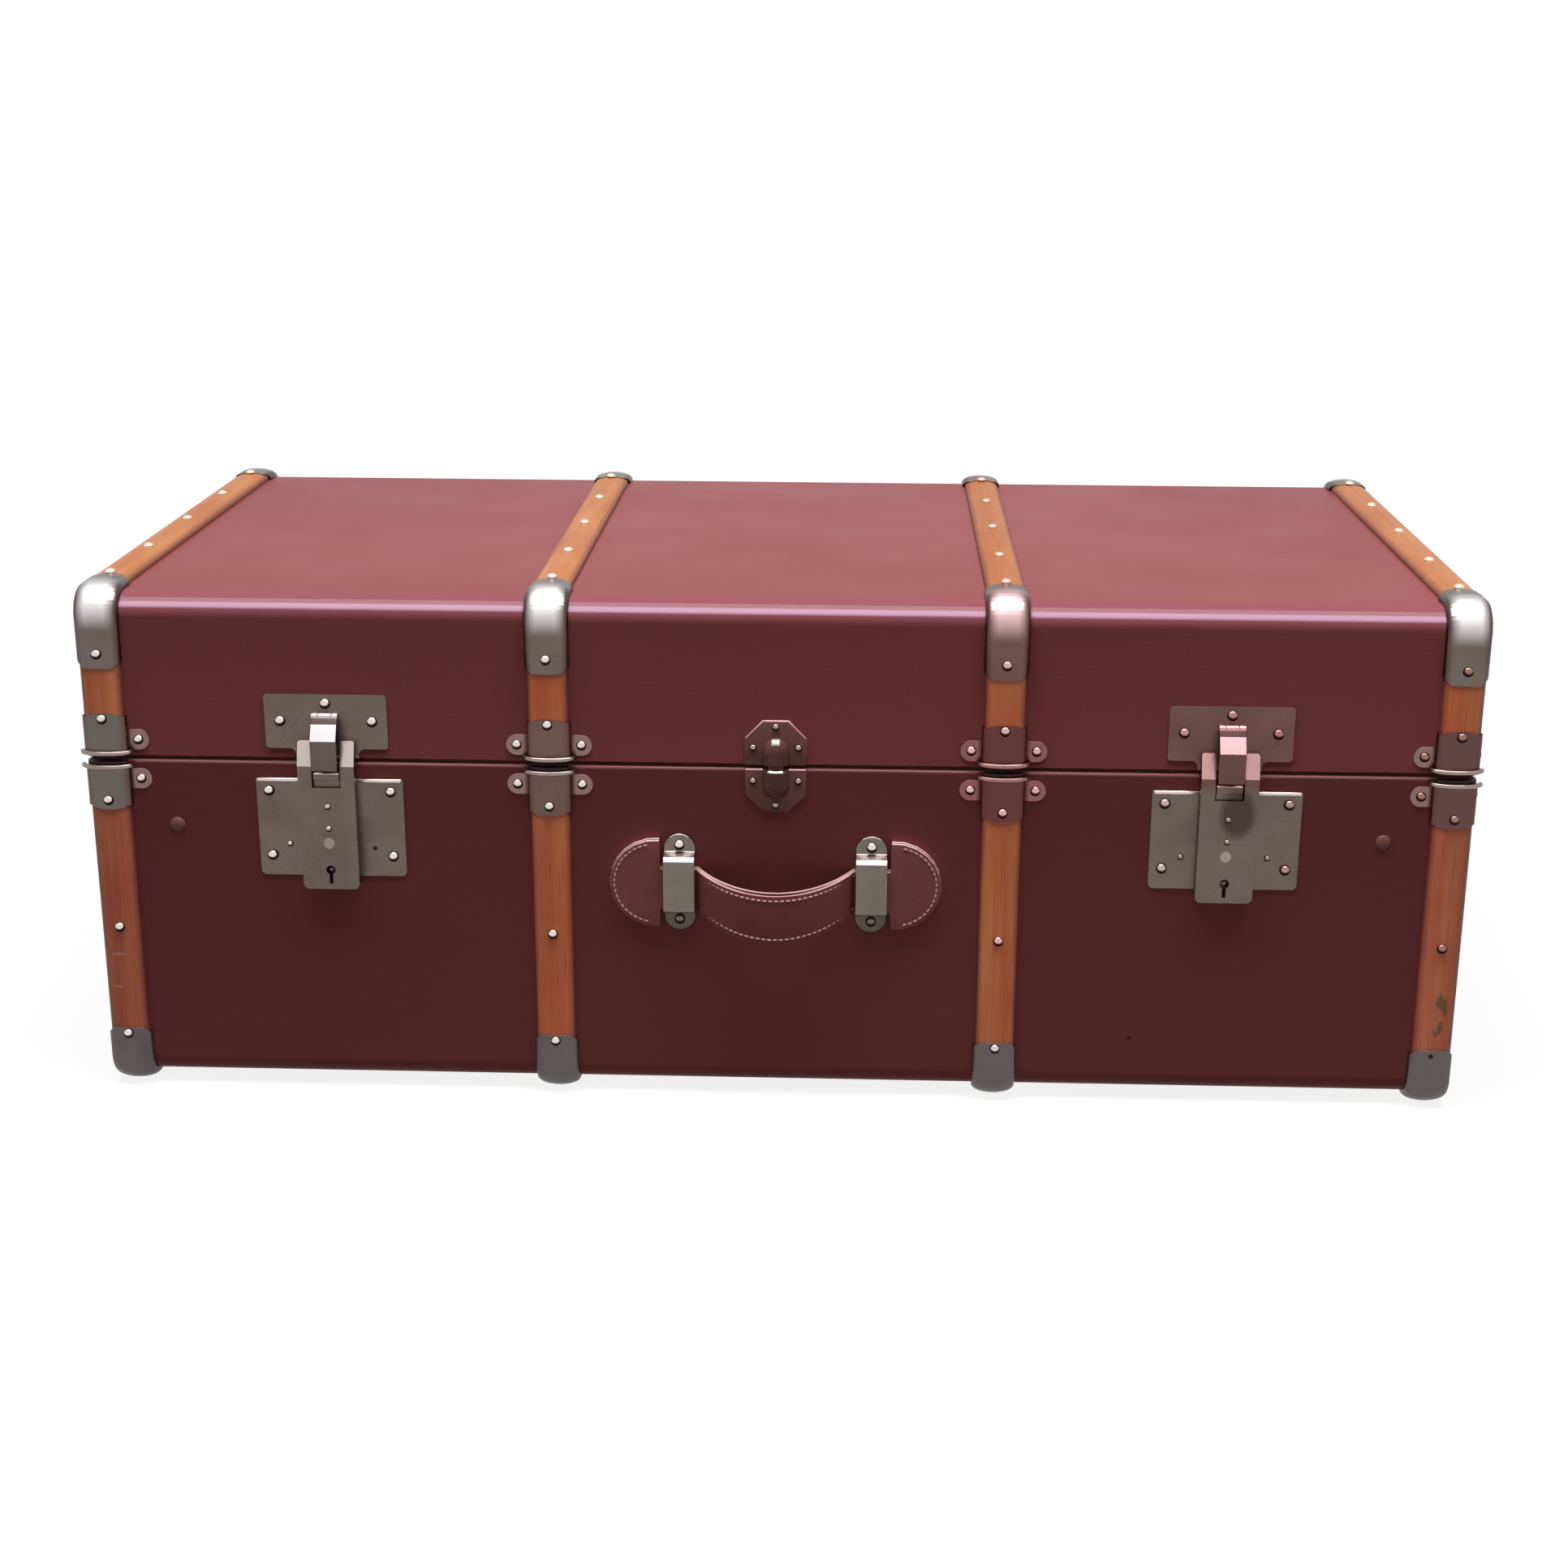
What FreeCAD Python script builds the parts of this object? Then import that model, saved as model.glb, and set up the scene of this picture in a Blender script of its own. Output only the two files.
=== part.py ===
import FreeCAD, Part
import math
import os

# A travel trunk: a plywood box in two halves, bound with wooden slats that
# are held by pressed sheet caps and clamps, with two hasp locks, a centre
# catch, leather handles, two cranked hinges and tape lid stays.
# Millimetres, +Z up, front towards -Y, floor at Z 0.

Vec = FreeCAD.Vector

# Trunk body
trunk_length = 900.0
trunk_depth = 436.0
base_height = 225.5
lid_height = 108.5
shell_wall = 6.0
edge_radius = 14.5
seam_gap = 2.0
lining_thickness = 1.2

# Fits and cutting allowance
contact_play = 0.1
pin_play = 0.05
slide_play = 0.3
moving_gap = 0.6
overrun = 1.0

# Wooden slats and the sheet that holds them
slat_width = 27.0
slat_thickness = 6.2
slat_shoulder = 5.0
shoulder_steps = 3
inner_slat_x = 147.0
sheet = 0.8

# Corner caps, measured over the finished corner
top_cap_drop = 54.5
bottom_cap_rise = 43.5
cap_return = 40.0

# Slat clamps on both sides of the seam
clamp_gap = 3.0
lid_clamp_reach = 31.0
base_clamp_reach = 34.0
lip_length = 2.4
lip_proud = 3.0
ear_radius = 7.0
ear_offset = 21.0
lid_ear_rise = 12.5
base_ear_drop = 14.0
ear_fold = 14.0
round_sides = 6

# Wooden tongue that stands up inside the rim
tongue_thickness = 5.0
tongue_rise = 8.5
tongue_drop = 30.0
lining_gap = 1.5

# Hinges
hinge_width = 60.0
leaf_thickness = 1.5
leaf_reach = 36.0
crank_start = 8.5
hinge_offset = 11.0
knuckle_radius = 4.5
barrel_sides = 12
hinge_pin_radius = 2.2
pin_end = 1.0

# Hasp plate on the lid
hasp_plate_width = 80.0
hasp_plate_top = 44.5
hasp_plate_bottom = 8.0
hasp_plate_thickness = 1.2
hasp_stem_width = 41.0
hasp_stem_bottom = 2.0
hasp_stem_hollow = 4.0
hasp_plate_corner = 2.0

# Hasp and its knuckle
hasp_width = 17.0
hasp_axis_rise = 30.5
hasp_axis_offset = 3.8
hasp_knuckle_radius = 2.6
hasp_pin_radius = 1.2
plate_knuckle_width = 8.4
knuckle_gap = 0.3
hasp_thickness = 2.0
hasp_proud = 14.0
hasp_bend_rise = 16.5
hasp_tip_drop = 1.3
staple_height = 2.8
staple_width = 9.0
staple_back = 1.5
staple_wall = 0.9

# Lock plate on the base
lock_plate_width = 97.0
lock_plate_top = 12.0
lock_plate_bottom = 79.5
lock_plate_thickness = 1.2
lock_plate_corner = 3.0
bead_height = 2.4
bead_proud = 1.2

# Raised lock case with its fork
case_width = 37.0
case_proud = 10.0
case_wall = 1.5
case_bottom = 85.8
case_corner = 4.0
fork_gap = 18.6
fork_rise = 14.5
fork_bend_drop = 1.5
fork_tip_proud = 5.0
fork_back = 2.0
fork_floor_drop = 16.0
fork_roof = 2.0
keyhole_drop = 72.5
keyhole_radius = 3.5
key_slot_width = 3.0
key_slot_reach = 9.5
key_pin_radius = 1.2

# Release button, its spring and the key bolt
button_width = 16.0
button_top_drop = 6.0
button_height = 14.5
button_back = 5.4
button_lip_height = 5.5
button_lip_proud = 1.4
nose_width = 5.0
nose_height = 4.0
nose_thickness = 2.0
stem_width = 8.0
stem_length = 22.0
stem_thickness = 2.6
spring_height = 12.0
spring_reach = 4.0
spring_strip = 0.5
spring_depth = 2.6
spring_folds = 5
ledge_width = 12.0
ledge_thickness = 1.6
bolt_width = 10.0
bolt_thickness = 2.6
bolt_top_drop = 10.5
bolt_bottom_drop = 66.5
bolt_tip_width = 5.0
bolt_tip_thickness = 1.4
bolt_tip_height = 7.0
talon_radius = 3.6
talon_sink = 3.0

# Centre catch
catch_width = 40.0
catch_rise = 31.5
catch_drop = 30.5
catch_chamfer = 11.5
catch_thickness = 1.5
catch_gap = 1.1
boss_width = 18.6
boss_proud = 8.0
boss_rise = 20.0
boss_drop = 22.0
boss_slope = 6.5
catch_tongue_width = 10.0
catch_tongue_height = 8.5
catch_tongue_thickness = 3.5
catch_tongue_offset = 2.5

# Leather handles and their loops
handle_drop = 80.0
handle_length = 218.0
handle_thickness = 5.0
loop_spacing = 126.0
loop_width = 20.7
loop_length = 66.5
loop_proud = 10.0
loop_strip = 1.5
bridge_height = 40.0
bridge_chamfer = 2.5
lobe_height = 60.0
lobe_gap = 2.0
neck_height = 29.0
neck_drop = 4.0
grip_height = 33.0
grip_drop = 13.5
grip_bow = 27.0
grip_thickness = 10.0
grip_straight = 2.0

# Rivets that hold the fittings
rivet_radius = 2.9
rivet_height = 1.8
rivet_sides = 8
rivet_crown_share = 0.55
plate_rivet_inset = 10.0
plate_rivet_rise = 26.5
crown_rivet_rise = 38.5
lock_rivet_inset = 8.5
lock_rivet_margin = 9.0
lock_rivet_foot = 14.0
catch_rivet_inset = 5.3
catch_rivet_rise = 13.0
catch_rivet_drop = 9.5
catch_end_inset = 4.5
catch_rivet_radius = 1.9
loop_rivet_margin = 7.5
rest_rivet_radius = 5.0
rest_rivet_height = 2.6

# Tray rests inside the base
rest_inset = 56.0
rest_drop = 45.5
rest_length = 30.0
rest_height = 24.0
rest_thickness = 14.0

# Lid stays of tape and the blocks that hold their ends
stay_length = 255.0
stay_width = 16.0
stay_thickness = 1.2
stay_set_back = 150.0
stay_strand_gap = 12.0
stay_block_height = 16.0
stay_block_depth = 10.0
base_stay_drop = 12.0
lid_stay_rise = 14.0

# Levels and faces that follow from the sizes above
foot = slat_thickness + sheet
seam_z = foot + base_height
body_top = seam_z + lid_height
half_length = trunk_length / 2
half_depth = trunk_depth / 2
base_rim_z = seam_z - seam_gap / 2 - contact_play
lid_rim_z = seam_z + seam_gap / 2 - contact_play
inner_half_length = half_length - shell_wall
inner_half_depth = half_depth - shell_wall
outer_slat_x = half_length - slat_width / 2
lock_x = (inner_slat_x + outer_slat_x) / 2
end_slats = (-outer_slat_x, outer_slat_x)
slat_places = (-outer_slat_x, -inner_slat_x, inner_slat_x, outer_slat_x)
hinge_places = (-lock_x, lock_x)
hinge_axis_y = half_depth + hinge_offset
front_reach = half_depth + handle_thickness + slide_play + grip_bow
back_reach = hinge_axis_y + knuckle_radius
handle_height = seam_z - handle_drop
rest_x = half_length - rest_inset
frame_shift = Vec(0, (front_reach - back_reach) / 2, 0)

# A chamfer this share of a radius stays just outside the round it replaces
chamfer_share = 0.58


def loop_face(points):
    """A flat face through corner points in order."""
    return Part.Face(Part.makePolygon(list(points) + [points[0]]))


def block(low, high):
    """A box between two corners."""
    size = high - low
    return Part.makeBox(size.x, size.y, size.z, low)


def front_block(x_low, x_high, out_low, out_high, z_low, z_high):
    """A box on the front face, given by its distances out from that face."""
    return block(Vec(x_low, -out_high, z_low), Vec(x_high, -out_low, z_high))


def side_profile(points, width, centre_x=0):
    """A side outline of (distance out, height) pairs, swept along X."""
    corners = [Vec(centre_x - width / 2, -out, z) for out, z in points]
    return loop_face(corners).extrude(Vec(width, 0, 0))


def front_outline(points, out_low, out_high):
    """A front outline of (x, z) pairs, made as thick as the distances out."""
    corners = [Vec(x, -out_low, z) for x, z in points]
    return loop_face(corners).extrude(Vec(0, out_low - out_high, 0))


def arc_edge(start, middle, end):
    """A round edge through three points."""
    return Part.Arc(start, middle, end).toShape()


def line_edge(start, end):
    """A straight edge."""
    return Part.LineSegment(start, end).toShape()


def fuse_all(shapes):
    """One solid from shapes that meet."""
    return shapes[0].multiFuse(shapes[1:]).removeSplitter()


def to_front(shape):
    """Moves a piece made on the plane Y 0 to the front face of the trunk."""
    return shape.translated(Vec(0, -half_depth, 0))


def to_back(shape):
    """Mirrors a piece of the front face to the back face."""
    return to_front(shape).mirror(Vec(0, 0, 0), Vec(0, 1, 0))


def to_end(shape, side):
    """Turns a piece made on the plane Y 0 to face one end of the trunk."""
    turned = shape.rotated(Vec(0, 0, 0), Vec(0, 0, 1), 90 * side)
    return turned.translated(Vec(side * half_length, 0, 0))


def shell_section(grow_in, low, high, round_top):
    """Half of the trunk's cross-section, with two rounded long edges."""
    y = half_depth - grow_in
    r = edge_radius - grow_in
    far, near = (high - grow_in, low) if round_top else (low + grow_in, high)
    turn = -1 if round_top else 1
    lean = r * (1 - math.sqrt(0.5))
    edges = [
        line_edge(Vec(0, -y, near), Vec(0, -y, far + turn * r)),
        arc_edge(
            Vec(0, -y, far + turn * r),
            Vec(0, -y + lean, far + turn * lean),
            Vec(0, -y + r, far),
        ),
        line_edge(Vec(0, -y + r, far), Vec(0, y - r, far)),
        arc_edge(
            Vec(0, y - r, far),
            Vec(0, y - lean, far + turn * lean),
            Vec(0, y, far + turn * r),
        ),
        line_edge(Vec(0, y, far + turn * r), Vec(0, y, near)),
        line_edge(Vec(0, y, near), Vec(0, -y, near)),
    ]
    return Part.Face(Part.Wire(edges))


def trough(grow_in, low, high, round_top):
    """The full length of a half shell's outline, as a closed solid."""
    reach = half_length - grow_in
    face = shell_section(grow_in, low, high, round_top)
    return face.translated(Vec(-reach, 0, 0)).extrude(Vec(2 * reach, 0, 0))


def base_shell():
    outer = trough(0, foot, base_rim_z, False)
    inner = trough(shell_wall, foot, base_rim_z + overrun, False)
    return outer.cut(inner)


def lid_shell():
    outer = trough(0, lid_rim_z, body_top, True)
    inner = trough(shell_wall, lid_rim_z - overrun, body_top, True)
    return outer.cut(inner)


def base_lining():
    top = seam_z - tongue_drop - contact_play
    face_depth = shell_wall + contact_play
    outer = trough(face_depth, foot, top, False)
    inner = trough(face_depth + lining_thickness, foot, top + overrun, False)
    return outer.cut(inner)


def lid_lining():
    bottom = seam_z + tongue_rise + lining_gap
    face_depth = shell_wall + contact_play
    outer = trough(face_depth, bottom, body_top, True)
    inner = trough(face_depth + lining_thickness, bottom - overrun, body_top, True)
    return outer.cut(inner)


def tongue_frame():
    """A frame fixed inside the base, stepped in where it enters the lid."""
    def ring(play, low, high):
        x = inner_half_length - play
        y = inner_half_depth - play
        inside_x = inner_half_length - tongue_thickness
        inside_y = inner_half_depth - tongue_thickness
        outer = block(Vec(-x, -y, low), Vec(x, y, high))
        inner = block(
            Vec(-inside_x, -inside_y, low - overrun),
            Vec(inside_x, inside_y, high + overrun),
        )
        return outer.cut(inner)

    lower = ring(0, seam_z - tongue_drop, base_rim_z)
    upper = ring(moving_gap, base_rim_z, seam_z + tongue_rise)
    return fuse_all([lower, upper])


def slat_section():
    """Section of a slat on the plane Z 0, with its crown towards -Y."""
    a = slat_width / 2 - slat_shoulder
    b = slat_shoulder - slat_thickness
    crown = []
    for step in range(shoulder_steps + 1):
        angle = math.pi / 2 * step / shoulder_steps
        crown.append((slat_shoulder * math.cos(angle), slat_shoulder * math.sin(angle)))
    right = [Vec(a + x, b - y, 0) for x, y in crown]
    left = [Vec(-a - x, b - y, 0) for x, y in crown[::-1]]
    return loop_face([Vec(slat_width / 2, 0, 0)] + right + left + [Vec(-slat_width / 2, 0, 0)])


def flat_shouldered(width, height, radius, base):
    """A slat-like section whose shoulders are flats just outside the round."""
    a = width / 2
    c = chamfer_share * radius
    return loop_face([
        Vec(-a, base, 0),
        Vec(-a, c - height, 0),
        Vec(c - a, -height, 0),
        Vec(a - c, -height, 0),
        Vec(a, c - height, 0),
        Vec(a, base, 0),
    ])


def channel(skin):
    """Section of a sheet channel of this skin, fitted over a slat."""
    outer = flat_shouldered(
        slat_width + 2 * skin, slat_thickness + skin, slat_shoulder + skin, 0
    )
    inner = flat_shouldered(slat_width, slat_thickness, slat_shoulder, overrun)
    return outer.cut(inner).Faces[0]


def half_round(centre, start, end):
    """Points of a half circle through a start, round to an end."""
    middle = (start + end) * 0.5
    across = (end - start) * 0.5
    outward = centre - middle
    points = []
    for step in range(round_sides + 1):
        angle = math.pi * step / round_sides
        points.append(middle - across * math.cos(angle) + outward * math.sin(angle))
    return points


def slat(low, high):
    """An upright slat between two heights, on the plane Y 0."""
    section = slat_section()
    return section.translated(Vec(0, 0, low)).extrude(Vec(0, 0, high - low))


def at_slats(piece):
    """One copy of a piece at each of the four slats."""
    return [piece.translated(Vec(x, 0, 0)) for x in slat_places]


def lay_on_top(piece):
    """Turns a front piece to lie on the top, its height running back."""
    turned = piece.rotated(Vec(0, 0, 0), Vec(1, 0, 0), -90)
    return turned.translated(Vec(0, 0, body_top))


def lay_below(piece):
    """Turns a front piece to lie under the bottom, its height running forward."""
    turned = piece.rotated(Vec(0, 0, 0), Vec(1, 0, 0), 90)
    return turned.translated(Vec(0, 0, foot))


def corner_cap(drop):
    """A pressed cap round one upper corner, with the block that backs its bend."""
    section = channel(sheet).translated(Vec(0, -edge_radius, 0))
    filled = flat_shouldered(
        slat_width + 2 * sheet, slat_thickness + sheet, slat_shoulder + sheet, 0
    ).translated(Vec(0, -edge_radius, 0))
    leg = section.extrude(Vec(0, 0, -(drop - foot - edge_radius)))
    turn = filled.revolve(Vec(0, 0, 0), Vec(1, 0, 0), -90)
    far = section.rotated(Vec(0, 0, 0), Vec(1, 0, 0), -90)
    across = far.extrude(Vec(0, cap_return - foot - edge_radius, 0))
    cap = fuse_all([leg, turn, across])
    return cap.translated(Vec(0, edge_radius - half_depth, body_top - edge_radius))


def clamp_ear(x_sign, height):
    """A round ear that lies on the shell beside the slat."""
    foot_x = x_sign * slat_width / 2
    centre_x = x_sign * ear_offset
    tip = Vec(centre_x + x_sign * ear_radius, 0, height)
    low = Vec(centre_x, 0, height - ear_radius)
    high = Vec(centre_x, 0, height + ear_radius)
    inner_low = Vec(foot_x, 0, height - ear_radius)
    inner_high = Vec(foot_x, 0, height + ear_radius)
    outline = [inner_low] + half_round(tip, low, high) + [inner_high]
    return loop_face(outline).extrude(Vec(0, -sheet, 0))


def folded_ear(x_sign, height):
    """The ear of an end slat, folded back along the end of the trunk."""
    x = x_sign * slat_width / 2
    tip = Vec(x, ear_fold, height)
    low = Vec(x, ear_fold - ear_radius, height - ear_radius)
    high = Vec(x, ear_fold - ear_radius, height + ear_radius)
    front_low = Vec(x, -sheet, height - ear_radius)
    front_high = Vec(x, -sheet, height + ear_radius)
    outline = [front_low] + half_round(tip, low, high) + [front_high]
    return loop_face(outline).extrude(Vec(x_sign * sheet, 0, 0))


def slat_clamp(direction, reach, ear_height, slat_x):
    """A clamp on one side of the seam, with its flared lip and two ears."""
    start = seam_z + direction * clamp_gap
    saddle = channel(sheet).extrude(Vec(0, 0, direction * (reach - clamp_gap)))
    lip = channel(sheet + lip_proud).extrude(Vec(0, 0, direction * lip_length))
    ears = []
    for side in (-1, 1):
        is_outer = slat_x in end_slats and side * slat_x > 0
        ear = folded_ear if is_outer else clamp_ear
        ears.append(ear(side, seam_z + direction * ear_height))
    moved = [piece.translated(Vec(0, 0, start)) for piece in (saddle, lip)]
    clamp = fuse_all(moved + ears)
    return clamp.translated(Vec(slat_x, 0, 0))


def clamps(direction, reach, ear_height):
    return [slat_clamp(direction, reach, ear_height, x) for x in slat_places]


def barrel(radius, start, width):
    """A many-sided barrel of a hinge knuckle, from a start along X."""
    corners = []
    for step in range(barrel_sides):
        angle = 2 * math.pi * step / barrel_sides
        corners.append(start + Vec(0, radius * math.cos(angle), radius * math.sin(angle)))
    return loop_face(corners).extrude(Vec(width, 0, 0))


def hinge_leaf(direction, spans):
    """One leaf of a cranked hinge, on the plane Y 0, with its knuckles."""
    plate = front_block(
        -hinge_width / 2,
        hinge_width / 2,
        0,
        leaf_thickness,
        min(direction * crank_start, direction * leaf_reach),
        max(direction * crank_start, direction * leaf_reach),
    )
    reach = Vec(0, leaf_thickness / 2 - hinge_offset, -direction * crank_start)
    across = Vec(0, -reach.z, reach.y).normalize() * (leaf_thickness / 2)
    start = Vec(0, -leaf_thickness / 2, direction * crank_start)
    centre = Vec(0, -hinge_offset, 0)
    pieces = [plate]
    for low, high in spans:
        place = Vec(low, 0, 0)
        corners = [start + across, start - across, centre - across, centre + across]
        crank = loop_face([corner + place for corner in corners])
        pieces.append(crank.extrude(Vec(high - low, 0, 0)))
        pieces.append(barrel(knuckle_radius, centre + place, high - low))
    bore = Part.makeCylinder(
        hinge_pin_radius + pin_play,
        hinge_width + 2 * overrun,
        centre - Vec(hinge_width / 2 + overrun, 0, 0),
        Vec(1, 0, 0),
    )
    return fuse_all(pieces).cut(bore)


def hinges():
    """The base leaves, lid leaves and pins of all hinges, on the back."""
    third = hinge_width / 6
    side_spans = (
        (-hinge_width / 2, -third - knuckle_gap),
        (third + knuckle_gap, hinge_width / 2),
    )
    base_leaf = hinge_leaf(-1, side_spans)
    lid_leaf = hinge_leaf(1, ((-third, third),))
    pin = Part.makeCylinder(
        hinge_pin_radius,
        hinge_width + 2 * pin_end,
        Vec(-hinge_width / 2 - pin_end, -hinge_offset, 0),
        Vec(1, 0, 0),
    )
    placed = []
    for piece in (base_leaf, lid_leaf, pin):
        on_back = to_back(piece.translated(Vec(0, 0, seam_z)))
        placed.append([on_back.translated(Vec(x, 0, 0)) for x in hinge_places])
    return placed


def hasp_axis(x_low):
    """A place on the axis that the hasp swings on."""
    return Vec(x_low, -hasp_axis_offset, seam_z + hasp_axis_rise)


def hasp_rod(radius):
    """A round rod on the hasp's axis, as long as the hasp is wide."""
    return Part.makeCylinder(radius, hasp_width, hasp_axis(-hasp_width / 2), Vec(1, 0, 0))


def hasp_plate():
    """The T-shaped plate on the lid, with the middle knuckle of the hasp."""
    a = hasp_plate_width / 2
    b = hasp_stem_width / 2
    c = hasp_stem_hollow
    k = hasp_plate_corner
    top = seam_z + hasp_plate_top
    wing = seam_z + hasp_plate_bottom
    low = seam_z + hasp_stem_bottom
    outline = [
        (-a, wing + k), (-a, top - k), (k - a, top), (a - k, top), (a, top - k),
        (a, wing + k), (a - k, wing), (b + c, wing), (b, wing - c), (b, low),
        (-b, low), (-b, wing - c), (-b - c, wing), (k - a, wing),
    ]
    plate = front_outline(outline, 0, hasp_plate_thickness)
    axis_z = seam_z + hasp_axis_rise
    half = plate_knuckle_width / 2
    root = front_block(
        -half, half, 0, hasp_axis_offset, axis_z, axis_z + hasp_knuckle_radius
    )
    knuckle = barrel(hasp_knuckle_radius, hasp_axis(-half), plate_knuckle_width)
    return fuse_all([plate, root, knuckle]).cut(hasp_rod(hasp_pin_radius + pin_play))


def hasp():
    """The swinging hasp: a bent leaf, two knuckles and a staple at the tip."""
    z = seam_z
    axis_z = z + hasp_axis_rise
    bend = z + hasp_bend_rise
    tip = z - hasp_tip_drop
    t = hasp_thickness
    out = hasp_proud
    near = hasp_axis_offset
    leaf = side_profile([
        (near, axis_z - hasp_knuckle_radius),
        (near + hasp_knuckle_radius, axis_z),
        (out, bend),
        (out, tip),
        (out - t, tip),
        (out - t, bend - t / 2),
    ], hasp_width)
    staple = front_block(
        -staple_width / 2, staple_width / 2, staple_back, out - t / 2,
        tip, tip + staple_height,
    )
    hole_width = bolt_tip_width + 2 * slide_play
    hole_front = staple_back + staple_wall
    hole_depth = bolt_tip_thickness + 2 * slide_play
    hole = front_block(
        -hole_width / 2, hole_width / 2, hole_front, hole_front + hole_depth,
        tip - overrun, tip + staple_height + overrun,
    )
    knuckle = barrel(hasp_knuckle_radius, hasp_axis(-hasp_width / 2), hasp_width)
    bore = hasp_rod(hasp_pin_radius + pin_play)
    gap = plate_knuckle_width / 2 + knuckle_gap
    slot = front_block(
        -gap, gap, 0, near + hasp_knuckle_radius + knuckle_gap,
        axis_z - hasp_knuckle_radius - knuckle_gap,
        axis_z + hasp_knuckle_radius + overrun,
    )
    return fuse_all([leaf, staple, knuckle]).cut(bore).cut(slot).cut(hole)


def hasp_pin():
    return hasp_rod(hasp_pin_radius)


def lock_plate():
    """The plate on the base, with its rolled top edge and the key pin."""
    a = lock_plate_width / 2
    k = lock_plate_corner
    top = seam_z - lock_plate_top
    low = seam_z - lock_plate_bottom
    outline = [
        (-a, low + k), (-a, top), (a, top), (a, low + k), (a - k, low), (k - a, low),
    ]
    pieces = [front_outline(outline, 0, lock_plate_thickness)]
    clear = case_width / 2 + slide_play
    face = lock_plate_thickness
    bead = [
        (0, top - bead_height),
        (face, top - bead_height),
        (face + bead_proud, top - bead_height / 2),
        (face, top),
        (0, top),
    ]
    for centre in (-(a + clear) / 2, (a + clear) / 2):
        pieces.append(side_profile(bead, a - clear, centre))
    pieces.append(Part.makeCylinder(
        key_pin_radius, case_proud - case_wall,
        Vec(0, 0, seam_z - keyhole_drop), Vec(0, -1, 0),
    ))
    return fuse_all(pieces)


def lock_case():
    """The raised case: a fork above, a hollow for the works, a keyhole."""
    back = lock_plate_thickness
    out = case_proud
    low = seam_z - case_bottom
    floor = seam_z - fork_floor_drop
    plate_top = seam_z - lock_plate_top + slide_play
    k = case_corner
    body = side_profile([
        (back, low),
        (out - case_wall, low),
        (out, low + case_wall),
        (out, seam_z - fork_bend_drop),
        (fork_tip_proud, seam_z + fork_rise),
        (fork_back, seam_z + fork_rise),
        (fork_back, plate_top),
        (back, plate_top),
    ], case_width)
    a = case_width / 2
    top = seam_z + fork_rise + overrun
    front_shape = front_outline(
        [(-a, low + k), (-a, top), (a, top), (a, low + k), (a - k, low), (k - a, low)],
        0, out + overrun,
    )
    body = body.common(front_shape)
    half_gap = fork_gap / 2
    cuts = [
        front_block(-half_gap, half_gap, 0, out + overrun, floor, top),
        front_block(
            case_wall - a, a - case_wall, 0, out - case_wall,
            low + case_wall, floor - fork_roof,
        ),
        front_block(-half_gap, half_gap, 0, out - case_wall, low + k, top),
    ]
    keyhole_z = seam_z - keyhole_drop
    hole = Part.makeCylinder(
        keyhole_radius, out + overrun, Vec(0, 0, keyhole_z), Vec(0, -1, 0)
    )
    slot = front_block(
        -key_slot_width / 2, key_slot_width / 2, 0, out + overrun,
        keyhole_z - key_slot_reach, keyhole_z,
    )
    for tool in cuts + [hole, slot]:
        body = body.cut(tool)
    ledge_top = stem_foot_z() - spring_height
    ledge = front_block(
        -ledge_width / 2, ledge_width / 2, button_back - slide_play,
        out - case_wall, ledge_top - ledge_thickness, ledge_top,
    )
    return fuse_all([body, ledge])


def stem_foot_z():
    """Height of the lower end of the button's stem."""
    return seam_z - button_top_drop - button_height - stem_length


def release_button():
    """The thumb button with its latch nose above and its stem below."""
    top = seam_z - button_top_drop
    half = button_width / 2
    front = case_proud - case_wall - slide_play
    body = front_block(-half, half, button_back, front, top - button_height, top)
    lip = front_block(
        -half, half, front, front + button_lip_proud, top - button_lip_height, top
    )
    nose = front_block(
        -nose_width / 2, nose_width / 2, button_back, button_back + nose_thickness,
        top, top + nose_height,
    )
    stem = front_block(
        -stem_width / 2, stem_width / 2, button_back, button_back + stem_thickness,
        stem_foot_z(), top - button_height,
    )
    return fuse_all([body, lip, nose, stem])


def button_spring():
    """A flat strip spring, folded to and fro between the ledge and the stem."""
    low = stem_foot_z() - spring_height + contact_play
    rise = (spring_height - 2 * contact_play - spring_strip) / spring_folds
    legs = []
    for fold in range(spring_folds):
        x = spring_reach if fold % 2 else -spring_reach
        z = low + fold * rise
        corners = [
            (x, z), (-x, z + rise), (-x, z + rise + spring_strip), (x, z + spring_strip),
        ]
        legs.append(front_outline(corners, button_back, button_back + spring_depth))
    return fuse_all(legs)


def key_bolt():
    """The bolt that the key lifts until its tip stands in the staple."""
    back = lock_plate_thickness + slide_play
    top = seam_z - bolt_top_drop
    half = bolt_width / 2
    body = front_block(
        -half, half, back, back + bolt_thickness, seam_z - bolt_bottom_drop, top
    )
    tip_back = back + bolt_thickness - bolt_tip_thickness
    tip = front_block(
        -bolt_tip_width / 2, bolt_tip_width / 2, tip_back,
        back + bolt_thickness, top, top + bolt_tip_height,
    )
    talon = Part.makeCylinder(
        talon_radius, back + bolt_thickness + overrun,
        Vec(0, 0, seam_z - bolt_bottom_drop - talon_sink), Vec(0, -1, 0),
    )
    return fuse_all([body, tip]).cut(talon)


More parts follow.
